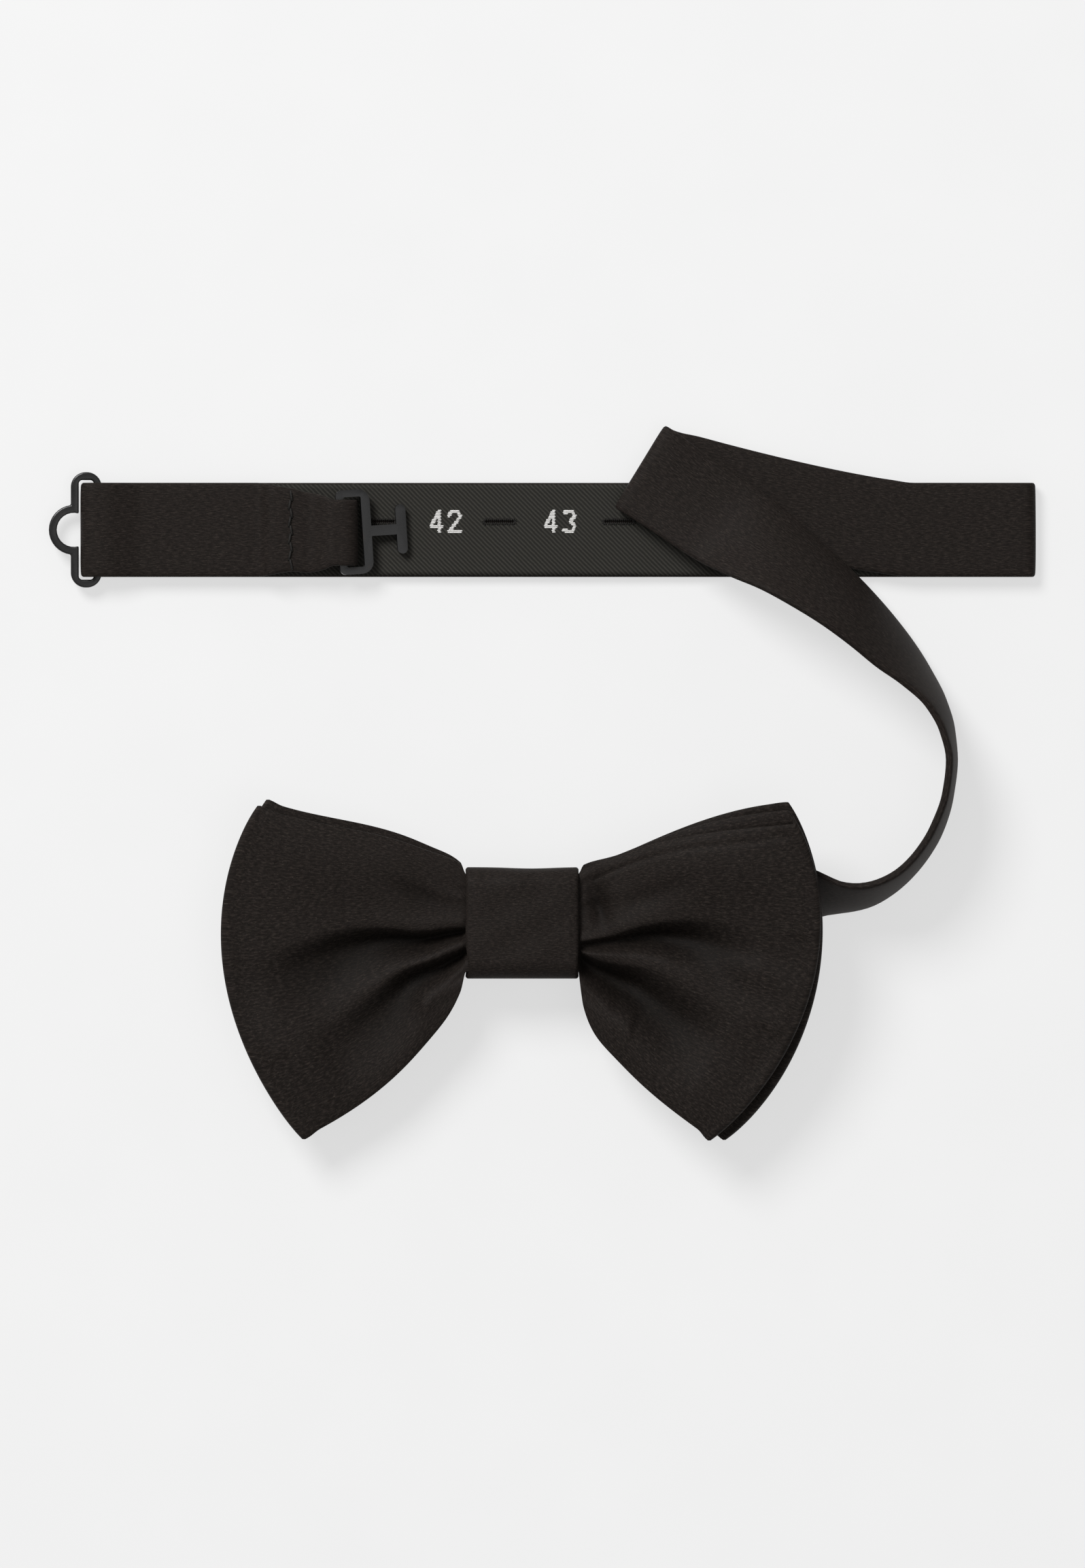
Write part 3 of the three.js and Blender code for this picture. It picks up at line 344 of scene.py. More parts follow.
def twill_material():
    """The size tape's dark twill: slanting ribs with an olive cast."""
    material, tree, shader = node_tree("twill")
    mapping = scaled_uv(tree, (1, 1, 1))
    ribs = tree.nodes.new("ShaderNodeTexWave")
    ribs.wave_type = "BANDS"
    ribs.bands_direction = "DIAGONAL"
    set_inputs(ribs, Scale=0.8, Distortion=0.8, Detail=1.0)
    link(tree, mapping, "Vector", ribs, "Vector")
    grain = noise(tree, (3.0, 3.0, 1), 3)
    tone = mixed(tree, ribs, "Color", grain, "Fac", 0.4)
    colour = ramp(tree, tone, "Color", [
        (0.2, (0.0125, 0.012, 0.01)), (0.55, (0.0235, 0.0223, 0.0186)), (0.85, (0.042, 0.04, 0.034)),
    ])
    link(tree, colour, "Color", shader, "Base Color")
    set_range(tree, grain, "Fac", shader, "Roughness", 0.7, 0.9)
    set_bump(tree, shader, tone, "Color", 0.5, 0.00012)
    set_inputs(shader, Specular_IOR_Level=0.2)
    return material


def grained_material(name, scale, low, high, rough=None, bump=None, **inputs):
    """An even grain between two colours; scale is its fineness to the metre."""
    material, tree, shader = node_tree(name)
    grain = noise(tree, (scale, scale, scale), 2, coordinates="Object")
    colour = ramp(tree, grain, "Fac", [(0.3, low), (0.7, high)])
    link(tree, colour, "Color", shader, "Base Color")
    if rough:
        set_range(tree, grain, "Fac", shader, "Roughness", *rough)
    if bump:
        set_bump(tree, shader, grain, "Fac", *bump)
    set_inputs(shader, **inputs)
    return material


def metal_material():
    """Black paint on flat pressed wire, worn a little to copper along its edges."""
    material, tree, shader = node_tree("painted_metal")
    patches = noise(tree, (420, 420, 420), 4, coordinates="Object")
    worn = ramp(tree, patches, "Fac", [
        (0.35, (0.0085, 0.0085, 0.0088)), (0.62, (0.0115, 0.0112, 0.0112)), (0.82, (0.03, 0.019, 0.0135)),
    ])
    link(tree, worn, "Color", shader, "Base Color")
    grain = noise(tree, (2600, 2600, 2600), 2, coordinates="Object")
    set_range(tree, patches, "Fac", shader, "Roughness", 0.2, 0.36)
    set_bump(tree, shader, grain, "Fac", 0.12, 0.00004)
    set_inputs(shader, Specular_IOR_Level=0.35, Coat_Weight=0.1, Coat_Roughness=0.2)
    return material


SATIN = satin_material("satin")
# The bow's satin, with shade painted into its pleats.
SHADE_PAINTED_SATIN = satin_material("satin_with_painted_shade", folds=True)
TWILL = twill_material()
THREAD = {"rough": (0.6, 0.85), "bump": (0.4, 0.00005), "Specular_IOR_Level": 0.25}
BLACK_THREAD = grained_material("black_thread", 3500, (0.006, 0.0055, 0.005), (0.022, 0.02, 0.018), **THREAD)
WHITE_THREAD = grained_material("white_thread", 3500, (0.62, 0.61, 0.59), (0.85, 0.84, 0.82), **THREAD)
CANVAS = grained_material(
    "canvas", 1400, (0.24, 0.22, 0.18), (0.36, 0.34, 0.29), bump=(0.5, 0.0002), Roughness=0.95,
)
METAL = metal_material()


def finish_piece(obj, material, slot, *nodes, body=None):
    """A piece's look, the CAD nodes it replaces and, unless it is blended, its body; slot is not used."""
    obj.data.materials.clear()
    obj.data.materials.append(material)
    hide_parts(*nodes)
    if body:
        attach(obj, body)


# ---- strips of band
#
# A section is one row of numbers: its middle, the direction across it and its normal, then its
# width, its thickness and how far it is curled round from edge to edge.

AT, ACROSS, NORMAL = slice(0, 3), slice(3, 6), slice(6, 9)
WIDTH, THICK, ROUND = 9, 10, 11
CORNERS = np.array([-0.5, -0.5, 0.5, 0.5]), np.array([-0.5, 0.5, -0.5, 0.5])


def section(x, y, z, across, face=1, tilt=0.0, curl=0.0, width=BAND_WIDTH, thick=BAND_THICK):
    flat = np.array([cos(across), sin(across), 0.0])
    up = np.array([0.0, 0.0, float(face)])
    return np.concatenate([
        [x, y, z],
        flat * cos(tilt) + up * sin(tilt),
        up * cos(tilt) - flat * sin(tilt),
        [width, thick, curl],
    ])


def section_points(sections, w, n):
    """Points of each section at shares w of its width and n of its thickness."""
    at, across, normal, width, thick, curl = (
        sections[:, None, part] for part in (AT, ACROSS, NORMAL, WIDTH, THICK, ROUND)
    )
    bent = np.abs(curl) > 1e-4
    safe = np.where(bent, curl, 1.0)
    turn = curl * w
    along = np.where(bent, width * np.sin(turn) / safe, width * w)
    lift = np.where(bent, width * (1 - np.cos(turn)) / safe, 0.0)
    across_part = (along - n * thick * np.sin(turn))[..., None] * across
    return at + across_part + (lift + n * thick * np.cos(turn))[..., None] * normal


def settled(one, z):
    """The section one, raised or lowered so that its lowest corner is at height z."""
    corners = section_points(one[None], *CORNERS)
    one[2] += z - corners[0, :, 2].min()
    return one


def fold(x, y, z, across, heading, radius, up, face, width=BAND_WIDTH, thick=BAND_THICK, steps=8):
    """Half a turn about a line across the strip; up is 1 where the strip comes in on top."""
    ahead = np.array([cos(heading), sin(heading), 0.0])
    rows = []
    for i in range(steps + 1):
        turn = pi * i / steps
        out = ahead * sin(turn) + np.array([0, 0, up]) * cos(turn)
        row = section(x, y, z, across, width=width, thick=thick)
        row[AT] += out * radius
        row[NORMAL] = out * face * up
        rows.append(row)
    return rows


def flowing(rows, spacing):
    """Sections on a smooth curve through the given ones, about spacing mm apart."""
    rows = np.array(rows)
    step = np.linalg.norm(np.diff(rows[:, AT], axis=0), axis=1)
    slope = np.diff(rows, axis=0) / step[:, None]
    tangent = np.empty_like(rows)
    tangent[0], tangent[-1] = slope[0], slope[-1]
    before, after = step[:-1, None], step[1:, None]
    # A tangent that never overshoots: none where the way turns back, else a harmonic mean.
    near, far = 2 * after + before, after + 2 * before
    product = slope[:-1] * slope[1:]
    turns_back = product <= 0
    bottom = np.where(turns_back, 1, near * slope[1:] + far * slope[:-1])
    tangent[1:-1] = np.where(turns_back, 0, (near + far) * product / bottom)
    result = [rows[0]]
    for i, length in enumerate(step):
        parts = max(int(round(length / spacing)), 1)
        for k in range(1, parts + 1):
            t = k / parts
            h00, h10 = 2 * t**3 - 3 * t**2 + 1, t**3 - 2 * t**2 + t
            h01, h11 = 3 * t**2 - 2 * t**3, t**3 - t**2
            row = h00 * rows[i] + h10 * length * tangent[i]
            result.append(row + h01 * rows[i + 1] + h11 * length * tangent[i + 1])
    result = np.array(result)
    across, normal = unit(result[:, ACROSS]), result[:, NORMAL]
    result[:, ACROSS] = across
    result[:, NORMAL] = unit(normal - np.sum(normal * across, axis=1, keepdims=True) * across)
    result[:, ROUND] = np.minimum(result[:, ROUND], 0)
    return result


def ribbon_ring(face_steps=22, edge_steps=8, edge_share=0.045, notch=0.013):
    """A pressed tube's section: soft faces, round edges, and a seam sunk in the middle of each."""
    reach = 0.5 - edge_share
    w = np.linspace(-reach, reach, face_steps)
    crown = 0.5 - 0.09 * np.abs(2 * w) ** 8
    turn = np.linspace(pi / 2, -pi / 2, edge_steps + 1)[1:-1]
    edge_w = reach + edge_share * np.cos(turn) - notch * np.exp(-(turn / 0.3) ** 2)
    edge_n = crown[-1] * np.sin(turn)
    ring_w = np.concatenate([w, edge_w, w[::-1], -edge_w])
    ring_n = np.concatenate([crown, edge_n, -crown, -edge_n])
    return ring_w, ring_n


def strip_of_cloth(name, rows, spacing=1.0, ripple=0.05):
    """A strip of band cloth through the given sections; its faces are never quite flat."""
    sections = flowing(rows, spacing)
    ring_w, ring_n = ribbon_ring()
    along = running(np.linalg.norm(np.diff(sections[:, AT], axis=0), axis=1))
    wave = np.zeros((len(along), len(ring_w)))
    for pitch, slant, share in ((17.0, 2.1, 0.5), (7.3, -1.2, 0.3), (29.0, 0.7, 0.6)):
        wave += share * np.sin(2 * pi * along[:, None] / pitch + slant * 3 * ring_w + pitch)
    thickness = 1 + wave * (ripple / BAND_THICK) * np.sign(ring_n) * (1 - (2 * np.abs(ring_w)) ** 4)
    rings = section_points(sections, ring_w[None, :], ring_n * thickness)
    around = running(np.hypot(np.diff(ring_w), np.diff(ring_n) * 0.09)) * BAND_WIDTH
    around = np.append(around, around[-1] + 0.3)
    return tube(name, rings, along, around), along[-1]


# The slanting crease: its middle, the heading of the band's middle there and how far the crease
# is from square to it, in degrees.
CREASE = {"x": 21.0, "y": 75.9, "angle": 148.6, "skew": 13.0}
CREASE_WIDTH = BAND_WIDTH / cos(radians(CREASE["skew"]))
# The band behind the right wing and round the curl, as in the CAD model: where its middle is in
# plan, its heading and tilt in degrees, its curl and the height of its lower edge.
CURL = [
    (9.5, 0, 0, 0, 0, WRAP_THICK + GAP),
    (22, 1.2, 7, 2, 0, 1.2),
    (34, 2.9, 9, 14, 0, 0.6),
    (43, 4, 10, 38, -0.4, 0.1),
    (49.5, 4.1, 12, 60, -0.7, 0),
    (54.3, 3.6, 15, 73, -0.5, 0),
    (58.6, 4.4, 23, 78, -0.3, 0),
    (64.4, 8, 42, 83, -0.2, 0),
    (69.9, 15.7, 64, 85, -0.2, 0),
    (72.4, 27.4, 91, 87, -0.2, 0),
    (70.2, 37.2, 111, 80, -0.5, 0),
    (62.9, 45.9, 127, 63, -0.5, 0.8),
    (54.3, 53.9, 134, 52, -0.4, LAYER_3_BASE - 0.35),
    (44.3, 61, 141, 38, -0.2, LAYER_3_BASE + 0.25),
    (32.8, 67.9, 147, 8, 0, LAYER_3_BASE),
    (CREASE["x"], CREASE["y"], CREASE["angle"], 0, 0, LAYER_3_BASE),
]


def spline_at(points, t):
    """A place on the centripetal spline through the points; t goes from 0 to 1 by their count."""
    points = np.array(points, dtype=float)
    last = len(points) - 1
    place = min(t * last, last - 1e-9)
    i = int(place)
    s = place - i
    p1, p2 = points[i], points[i + 1]
    p0 = points[i - 1] if i > 0 else 2 * p1 - p2
    p3 = points[i + 2] if i + 2 <= last else 2 * p2 - p1
    d0, d1, d2 = (max(np.linalg.norm(b - a) ** 0.5, 1e-4) for a, b in ((p0, p1), (p1, p2), (p2, p3)))
    m1 = ((p1 - p0) / d0 - (p2 - p0) / (d0 + d1) + (p2 - p1) / d1) * d1
    m2 = ((p2 - p1) / d1 - (p3 - p1) / (d1 + d2) + (p3 - p2) / d2) * d1
    return ((2 * p1 - 2 * p2 + m1 + m2) * s**3 + (-3 * p1 + 3 * p2 - 2 * m1 - m2) * s**2 + m1 * s + p1)


def curl_rows():
    """From the knot, behind the right wing and round the upright curl, to the slanting crease."""
    rows = []
    count = (len(CURL) - 1) * 2
    for i in range(1, count + 1):
        place = spline_at([(p[0], p[1], p[5]) for p in CURL], i / count)
        angles = spline_at([(p[2], p[3], p[4]) for p in CURL], i / count)
        width = CREASE_WIDTH if i == count else BAND_WIDTH
        row = section(
            place[0], place[1], 0, radians(angles[0] + 90), tilt=radians(max(angles[1], 0)),
            curl=min(angles[2], 0), width=width,
        )
        rows.append(settled(row, max(place[2], 0)))
    return rows


def turn_round_bar(x, y, across, face, top):
    """A turn round a fitting's bar, and the top ply's way down from it to the height top."""
    high = BAR_Z + TURN_RADIUS
    return [
        *fold(x, y, BAR_Z, across, LEFTWARD, TURN_RADIUS, up=-1, face=-face),
        section(x + 1.9, y, high, across, face=face),
        section(x + 5, y, lerp(high, top, 0.5), across, face=face),
        section(x + 8, y, top, across, face=face),
    ]


def tab_rows():
    """From the tab's end under the knot, round the catch hook's bar and back through the knot."""
    top = BAND_THICK * 1.5 + GAP
    return [
        section(TAB_END_X, 0, BAND_THICK / 2, ACROSS_UP, face=-1),
        section(TAB_FOLD_X + 5, 0, BAND_THICK / 2, ACROSS_UP, face=-1),
        *turn_round_bar(TAB_FOLD_X, 0, ACROSS_UP, 1, top),
        section(TAB_END_X + 1, 0, top, ACROSS_UP),
        section(-HALF_KNOT, 0, KNOT_BAND_Z, ACROSS_UP),
        section(HALF_KNOT, 0, KNOT_BAND_Z, ACROSS_UP),
    ]


def second_layer_rows():
    """From the slanting crease down into line with the base layer, where it runs straight."""
    straight_x = BAND_HIGH[0] - 20.3
    run, rise = straight_x - CREASE["x"], CREASE["y"] - BASE_Y
    bend = 1.3  # 1 is a straight slope; above it, the layer curves into line
    rows = []
    for i in range(1, 9):
        x = lerp(CREASE["x"], straight_x, i / 8)
        t = (straight_x - x) / run
        heading = -atan(bend * rise * t ** (bend - 1) / run)
        skew = radians(CREASE["skew"]) * (1 - float(smooth(x, CREASE["x"], CREASE["x"] + 14)))
        rows.append(section(
            x, BASE_Y + rise * t**bend, LAYER_2, heading + ACROSS_DOWN - skew, face=-1,
            width=BAND_WIDTH / cos(skew),
        ))
    return rows


def band_rows():
    """The whole neck band up to where the turn round the eye begins."""
    crease = fold(
        CREASE["x"], CREASE["y"], (LAYER_2 + LAYER_3) / 2, radians(CREASE["angle"] + 90),
        radians(CREASE["angle"]), (LAYER_3 - LAYER_2) / 2, up=1, face=1, width=CREASE_WIDTH,
    )
    radius = (LAYER_2 - BAND_THICK / 2) / 2
    end = fold(
        BAND_HIGH[0] - radius - BAND_THICK / 2, BASE_Y, BAND_THICK / 2 + radius, ACROSS_DOWN, 0,
        radius, up=1, face=-1,
    )
    base = section(SPLIT_X, BASE_Y, BAND_THICK / 2, ACROSS_DOWN)
    return [*tab_rows(), *curl_rows(), *crease[1:], *second_layer_rows(), *end, base]


def tail_rows():
    """From the base layer, round the eye's bar and the T hook's, to the end under the tail."""
    slim_top = TAIL_TOP_PLY - (BAND_THICK - TAIL_PLY) / 2
    slim_low = LOOP_BOTTOM + TAIL_PLY / 2
    loop_top = LOOP_Z + LOOP_RADIUS
    low_y = BASE_Y - TAIL_LOWER

    def full(x, z, share=0.0):
        width = lerp(BAND_WIDTH, TAIL_END_WIDTH, share)
        return section(x, BASE_Y, z, ACROSS_DOWN, face=-1, width=width)

    def slim(x, z, share=1.0, face=-1):
        width = lerp(BAND_WIDTH, TAIL_END_WIDTH, share)
        return section(x, low_y, z, ACROSS_DOWN, face=face, width=width, thick=TAIL_PLY)

    return [
        section(SPLIT_X - 0.05, BASE_Y, BAND_THICK / 2, ACROSS_DOWN),
        *turn_round_bar(EYE_FOLD_X, BASE_Y, ACROSS_DOWN, -1, LAYER_2),
        full(TAIL_UNDER_X - 3.5, LAYER_2),
        full(TAIL_UNDER_X - 0.9, TAIL_TOP_PLY, 1 / 6),
        full(TAIL_SEAM_X, TAIL_TOP_PLY, 3 / 8),
        slim(LOOP_X - 6, slim_top, 1 / 2),
        slim(LOOP_X - 3.2, lerp(slim_top, loop_top, 0.75), 3 / 4),
        slim(LOOP_X - 2, loop_top),
        *fold(LOOP_X, low_y, LOOP_Z, ACROSS_DOWN, 0, LOOP_RADIUS, up=1, face=-1,
              width=TAIL_END_WIDTH, thick=TAIL_PLY),
        slim(LOOP_X - 3.2, slim_low, face=1),
        slim(TAIL_UNDER_X, slim_low, face=1),
    ]


CANVAS_INSET = 0.8  # from the band's edges to its interlining's
CANVAS_THICK = 0.3


def neck_band():
    band, length = strip_of_cloth("neck_band_cloth", band_rows())
    finish_piece(band, SATIN, "satin", "neck_band")
    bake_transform(band)
    rows = np.array(band_rows())
    rows[:, WIDTH] -= 2 * CANVAS_INSET
    rows[:, THICK] = CANVAS_THICK
    canvas, length = strip_of_cloth("neck_band_canvas", rows, spacing=1.5, ripple=0.01)
    finish_piece(canvas, CANVAS, "interlining", "neck_band_interlining")
    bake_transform(canvas)


def tail():
    cloth, length = strip_of_cloth("tail_cloth", tail_rows(), spacing=0.7, ripple=0.03)
    finish_piece(cloth, SATIN, "satin", "tail", "band_turn")
    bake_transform(cloth)


# ---- bow
#
# Outlines are in shares of the half span (X) and of the wing's drop or rise (Y), each edge one
# cubic Bezier curve, as in the CAD model. front_right_under is the front panel's own back ply,
# which shows past its front ply along the top of the right wing.

OUTLINES = {
    "front_left": {
        "top": [(0.394, 0.8), (0.653, 0.74)], "corner": (0.885, 0.96),
        "bottom": [(0.291, -0.602), (0.491, -0.83)], "tip": (0.737, -0.995),
        "outer": [(0.994, -0.555), (1.097, 0.04)],
    },
    "front_right": {
        "top": [(0.39, 0.68), (0.6, 0.76)], "corner": (0.915, 0.81),
        "bottom": [(0.212, -0.592), (0.452, -0.818)], "tip": (0.634, -1),
        "outer": [(0.96, -0.62), (1.09, 0)],
    },
    "back_left": {
        "top": [(0.377, 0.87), (0.629, 0.79)], "corner": (0.856, 1.01),
        "bottom": [(0.291, -0.59), (0.49, -0.81)], "tip": (0.72, -0.965),
        "outer": [(0.975, -0.54), (1.075, 0.05)],
    },
    "back_right": {
        "top": [(0.414, 0.65), (0.631, 0.95)], "corner": (0.89, 0.99),
        "bottom": [(0.225, -0.58), (0.465, -0.805)], "tip": (0.684, -0.998),
        "outer": [(0.998, -0.63), (1.092, 0.08)],
    },
}
OUTLINES["front_right_under"] = {
    **OUTLINES["front_right"], "top": [(0.40, 0.66), (0.61, 0.88)], "corner": (0.898, 0.925),
}
BAND_CLEARED = BAND_WIDTH + 1.65  # the right wing's corner lies over the curl's upright band
OUTER_HEIGHTS = {  # the middle of each outer fold, at its corner and at its tip
    "back_left": (BACK_Z + 5.2, BACK_Z + 1),
    "front_left": (FRONT_Z + 3.6, FRONT_Z - 0.6),
    "back_right": (BAND_CLEARED, BACK_Z + 4),
    "front_right": (BAND_CLEARED + EDGE_THICK + 0.4, FRONT_Z + 2.4),
}
KNOT_SHARE = HALF_KNOT / WING_EDGE_X


def bezier(points, t):
    a, b, c, d = (np.array(p, dtype=float) for p in points)
    t = t[..., None]
    return a * (1 - t) ** 3 + 3 * b * t * (1 - t) ** 2 + 3 * c * t**2 * (1 - t) + d * t**3


def wing_plan(name, side, q, v):
    """Where a wing's surface is in plan: q from the knot to the outer edge, v from bottom to top."""
    outline = OUTLINES[name]

    def place(p):
        return (side * p[0] * WING_EDGE_X, p[1] * (WING_RISE if p[1] > 0 else WING_DROP))

    low, high = np.array([side * HALF_KNOT, -EAR_HEIGHT]), np.array([side * HALF_KNOT, EAR_HEIGHT])
    tip, corner = np.array(place(outline["tip"])), np.array(place(outline["corner"]))
    bottom = bezier([low, *map(place, outline["bottom"]), tip], q)
    top = bezier([high, *map(place, outline["top"]), corner], q)
    outer = bezier([tip, *map(place, outline["outer"]), corner], v)
    q, v = q[..., None], v[..., None]
    # A patch between four edges, where the terms of the straight one at the knot cancel out.
    return bottom * (1 - v) + top * v + outer * q - lerp(tip, corner, v) * q


# Pleats: the cloth is level down to a line in plan, drops steeply just below it and comes back
# up slowly. At even steps along the line, from the knot outwards: how deep it drops, the width
# of the drop, the width of the way back up and how softly the drop begins (0 is a sharp crease).
PLEATS = [
    {"line": [(-7.5, -0.8), (-12, -0.9), (-17.4, -1.4), (-23.4, -0.8), (-30, -1.0), (-38, -3.0), (-45, -5.5)],
     "depth": (1.8, 2.6, 3.3, 3.5, 3.2, 2.6, 1.6, 0.3), "drop": (0.6, 0.8, 1.2, 1.7, 2.6, 3.6, 4.6, 5.6),
     "back": (1.3, 2.4, 3.8, 6.0, 8.5, 10.5, 12.0, 13.0), "soft": (0, 0, 0.1, 0.25, 0.5, 0.8, 1, 1)},
    {"line": [(-7.5, -3.6), (-10.2, -4.4), (-14.4, -6), (-19.7, -7.8), (-24, -10.6), (-30, -14.8),
              (-36, -19)],
     "depth": (1.6, 2.4, 2.9, 3.0, 2.7, 2.0, 1.2, 0.2), "drop": (0.6, 0.9, 1.3, 1.9, 2.6, 3.6, 4.6, 5.6),
     "back": (0.9, 1.6, 3.0, 4.8, 7.0, 9.0, 10.0, 11.0), "soft": (0, 0, 0, 0.2, 0.4, 0.8, 1, 1)},
    {"line": [(7.5, -3.6), (10, -3.1), (15.1, -2.1), (20.7, -0.4), (26.2, 0.5), (33, 0.6), (41, -1.2)],
     "depth": (1.3, 1.6, 2.0, 2.8, 3.4, 3.2, 2.0, 0.3), "drop": (0.5, 0.7, 1.0, 1.5, 2.2, 3.2, 4.6, 6.0),
     "back": (0.8, 1.3, 2.2, 3.6, 5.0, 7.0, 9.0, 10.0), "soft": (0, 0, 0, 0.1, 0.3, 0.6, 1, 1)},
    {"line": [(7.5, -4.4), (9.8, -4.9), (13.1, -6.3), (16.6, -6.9), (21.4, -7.6), (28, -10.6), (36, -15)],
     "depth": (1.5, 2.4, 3.2, 3.8, 3.8, 3.2, 2.2, 0.4), "drop": (0.6, 0.9, 1.4, 2.2, 3.2, 4.4, 5.4, 6.4),
     "back": (1.0, 1.8, 3.5, 6.0, 8.0, 9.5, 11.0, 12.0), "soft": (0, 0, 0, 0.15, 0.4, 0.7, 1, 1)},
]
# Soft swellings (and hollows, below zero) between them: middle in plan, half widths, height and
# how far the long axis is turned from X, in degrees.
SWELLS = [
    (-28, 9, 14, 7, 1.5, -12), (-20.5, -4.7, 7, 1.9, 0.7, 12), (-38, -22, 7, 10, 0.8, 30),
    (-16.5, -11.5, 5, 3, 0.7, 50), (-17.5, 4.6, 5.5, 1.7, -0.8, 155), (-31, -24, 3.5, 9, -0.5, 20),
    (31, 8.5, 14, 6, 1.2, 8), (15, -4.4, 6, 1.3, 0.6, 8), (37, -7.5, 8, 2.6, 0.8, 160),
    (18, -18, 8, 4, 0.9, -50), (13.0, 2.9, 1.7, 3.8, -1.5, 10), (33, -25, 10, 5, 0.8, 50),
    (23, 5.2, 7, 1.6, -0.4, 20),
]
LONG_SEAM = [(10, 6.4), (20.2, 10.6), (28.8, 12.6), (34.5, 13.1), (44.5, 14.6)]  # right wing's top


def near_line(line, x, y, steps=48):
    """For each place, its way along a smooth line (0 to 1) and its signed distance, + above."""
    points = np.array([spline_at(line, t) for t in np.linspace(0, 1, steps)])
    best = np.full(x.shape, 1e9)
    along = np.zeros(x.shape)
    signed = np.full(x.shape, 1e9)
    for i in range(steps - 1):
        a, b = points[i], points[i + 1]
        d = b - a
        t = ((x - a[0]) * d[0] + (y - a[1]) * d[1]) / (d @ d)
        held = np.clip(t, 0 if i else -9, 1)
        dx, dy = x - a[0] - held * d[0], y - a[1] - held * d[1]
        away = np.hypot(dx, dy)
        side = np.sign(d[0]) * np.sign(d[0] * dy - d[1] * dx)
        nearer = away < best
        best = np.where(nearer, away, best)
        along = np.where(nearer, (i + np.clip(held, 0, 1)) / (steps - 1), along)
        signed = np.where(nearer, away * np.where(side == 0, 1, side), signed)
    return along, signed


FULL_SHADE_DEPTH = 3.0  # a pleat this deep gets the darkest painted shade


def relief(x, y):
    """How far the gathered cloth is above its plain surface, and how deep in a pleat it is, for the shade
    painted there.
    """
    height = np.zeros(x.shape)
    deep = np.zeros(x.shape)
    for pleat in PLEATS:
        on_side = np.sign(pleat["line"][0][0]) * x > 0
        along, signed = near_line(pleat["line"], x, y)
        stops = np.linspace(0, 1, len(pleat["depth"]))
        depth, drop, back, soft = (
            np.interp(along, stops, pleat[k]) for k in ("depth", "drop", "back", "soft")
        )
        below = -signed
        down = np.clip(below / drop, 0, 1)
        fall = lerp(1 - (1 - down) ** 1.8, smooth(down, 0, 1), soft)
        up = np.clip((below - drop) / back, 0, 1)
        rise = 0.5 + 0.5 * np.cos(pi * up)
        sunk = on_side * depth * np.where(below > 0, fall * rise, 0)
        height -= sunk
        deep = np.maximum(deep, sunk)
        lip = np.exp(-((signed - 0.9) / (0.9 + 0.5 * drop)) ** 2)
        height += on_side * 0.16 * depth * lip * (1 - soft)
    for cx, cy, rx, ry, rise, turn in SWELLS:
        c, s = cos(radians(turn)), sin(radians(turn))
        dx, dy = x - cx, y - cy
        # A hollow among them gets painted shade as a pleat does.
        swell = rise * np.exp(-((c * dx + s * dy) / rx) ** 2 - ((c * dy - s * dx) / ry) ** 2)
        height += swell
        deep = np.maximum(deep, -1.6 * swell)
    # Fine gathers fan out from the knot, and slow and fine unevenness covers the wings.
    out = np.abs(x) - HALF_KNOT
    fan = y / (EAR_HEIGHT + np.maximum(out, 0) * 0.55)
    gathers = 0.5 * np.sin(15 * fan + 0.8) + 0.35 * np.sin(26 * fan + 2.1 + np.sign(x))
    height += 0.2 * gathers * np.exp(-np.maximum(out, 0) / 4.5)
    slow = np.sin(0.21 * x + 0.13 * y + 0.6) * np.sin(0.17 * y - 0.08 * x + 1.9)
    fine = np.sin(0.9 * x + 0.35 * y) * np.sin(0.55 * y - 0.2 * x + 1.1)
    return height + (0.28 * slow + 0.03 * fine) * smooth(out, 4, 16), np.clip(deep / FULL_SHADE_DEPTH, 0, 1)


def share_out(s):
    """How far out on a wing s is: 0 at the knot's edge and under it, 1 at the outer fold."""
    return np.maximum((np.abs(s) - KNOT_SHARE) / (1 - KNOT_SHARE), 0)


def panel_rows(layer, s, v, ply):
    """Places in plan, middle heights, thicknesses and the plies' thickness of a panel.

    s runs from -1 to 1 between its outer folds, v from 0 to 1 up it; ply is -1 behind, 1 in front.
    """
    q = share_out(s)
    side = np.where(s < 0, -1, 1)
    inside = np.abs(s) <= KNOT_SHARE
    half = lerp(NECK_HEIGHT, EAR_HEIGHT, smooth(np.abs(s) / KNOT_SHARE, 0.25, 1))
    left = wing_plan(f"{layer}_left", -1, q, v)
    right = wing_plan(f"{layer}_right", 1, q, v)
    if layer == "front":
        under = wing_plan("front_right_under", 1, q, v)
        right = lerp(right, under, ((1 - ply) / 2)[..., None])
    plan = np.where((side < 0)[..., None], left, right)
    held = np.stack([s / KNOT_SHARE * HALF_KNOT, lerp(-half, half, v)], axis=-1)
    plan = np.where(inside[..., None], held, plan)
    # Let go by the knot, the cloth springs out to the knot's own height.
    out = np.maximum(np.abs(plan[..., 0]) - HALF_KNOT, 0)
    spring = 1 + 0.13 * smooth(out, 0, 0.8) * np.exp(-((out / 4) ** 2))
    plan = plan * np.stack([np.ones_like(spring), spring], axis=-1)
    knot_z = BACK_Z if layer == "back" else FRONT_Z
    heights = [OUTER_HEIGHTS[f"{layer}_{name}"] for name in ("left", "right")]
    corner = np.where(side < 0, heights[0][0], heights[1][0])
    tip = np.where(side < 0, heights[0][1], heights[1][1])
    middle = lerp(knot_z, lerp(tip, corner, v), q ** 1.15)
    thick = lerp(EDGE_THICK, BOW_THICK, (1 - q) ** 1.5)
    ply_thick = lerp(PLY_EDGE, PLY_GATHERED, (1 - q) ** 2)
    return plan, middle, thick, ply_thick


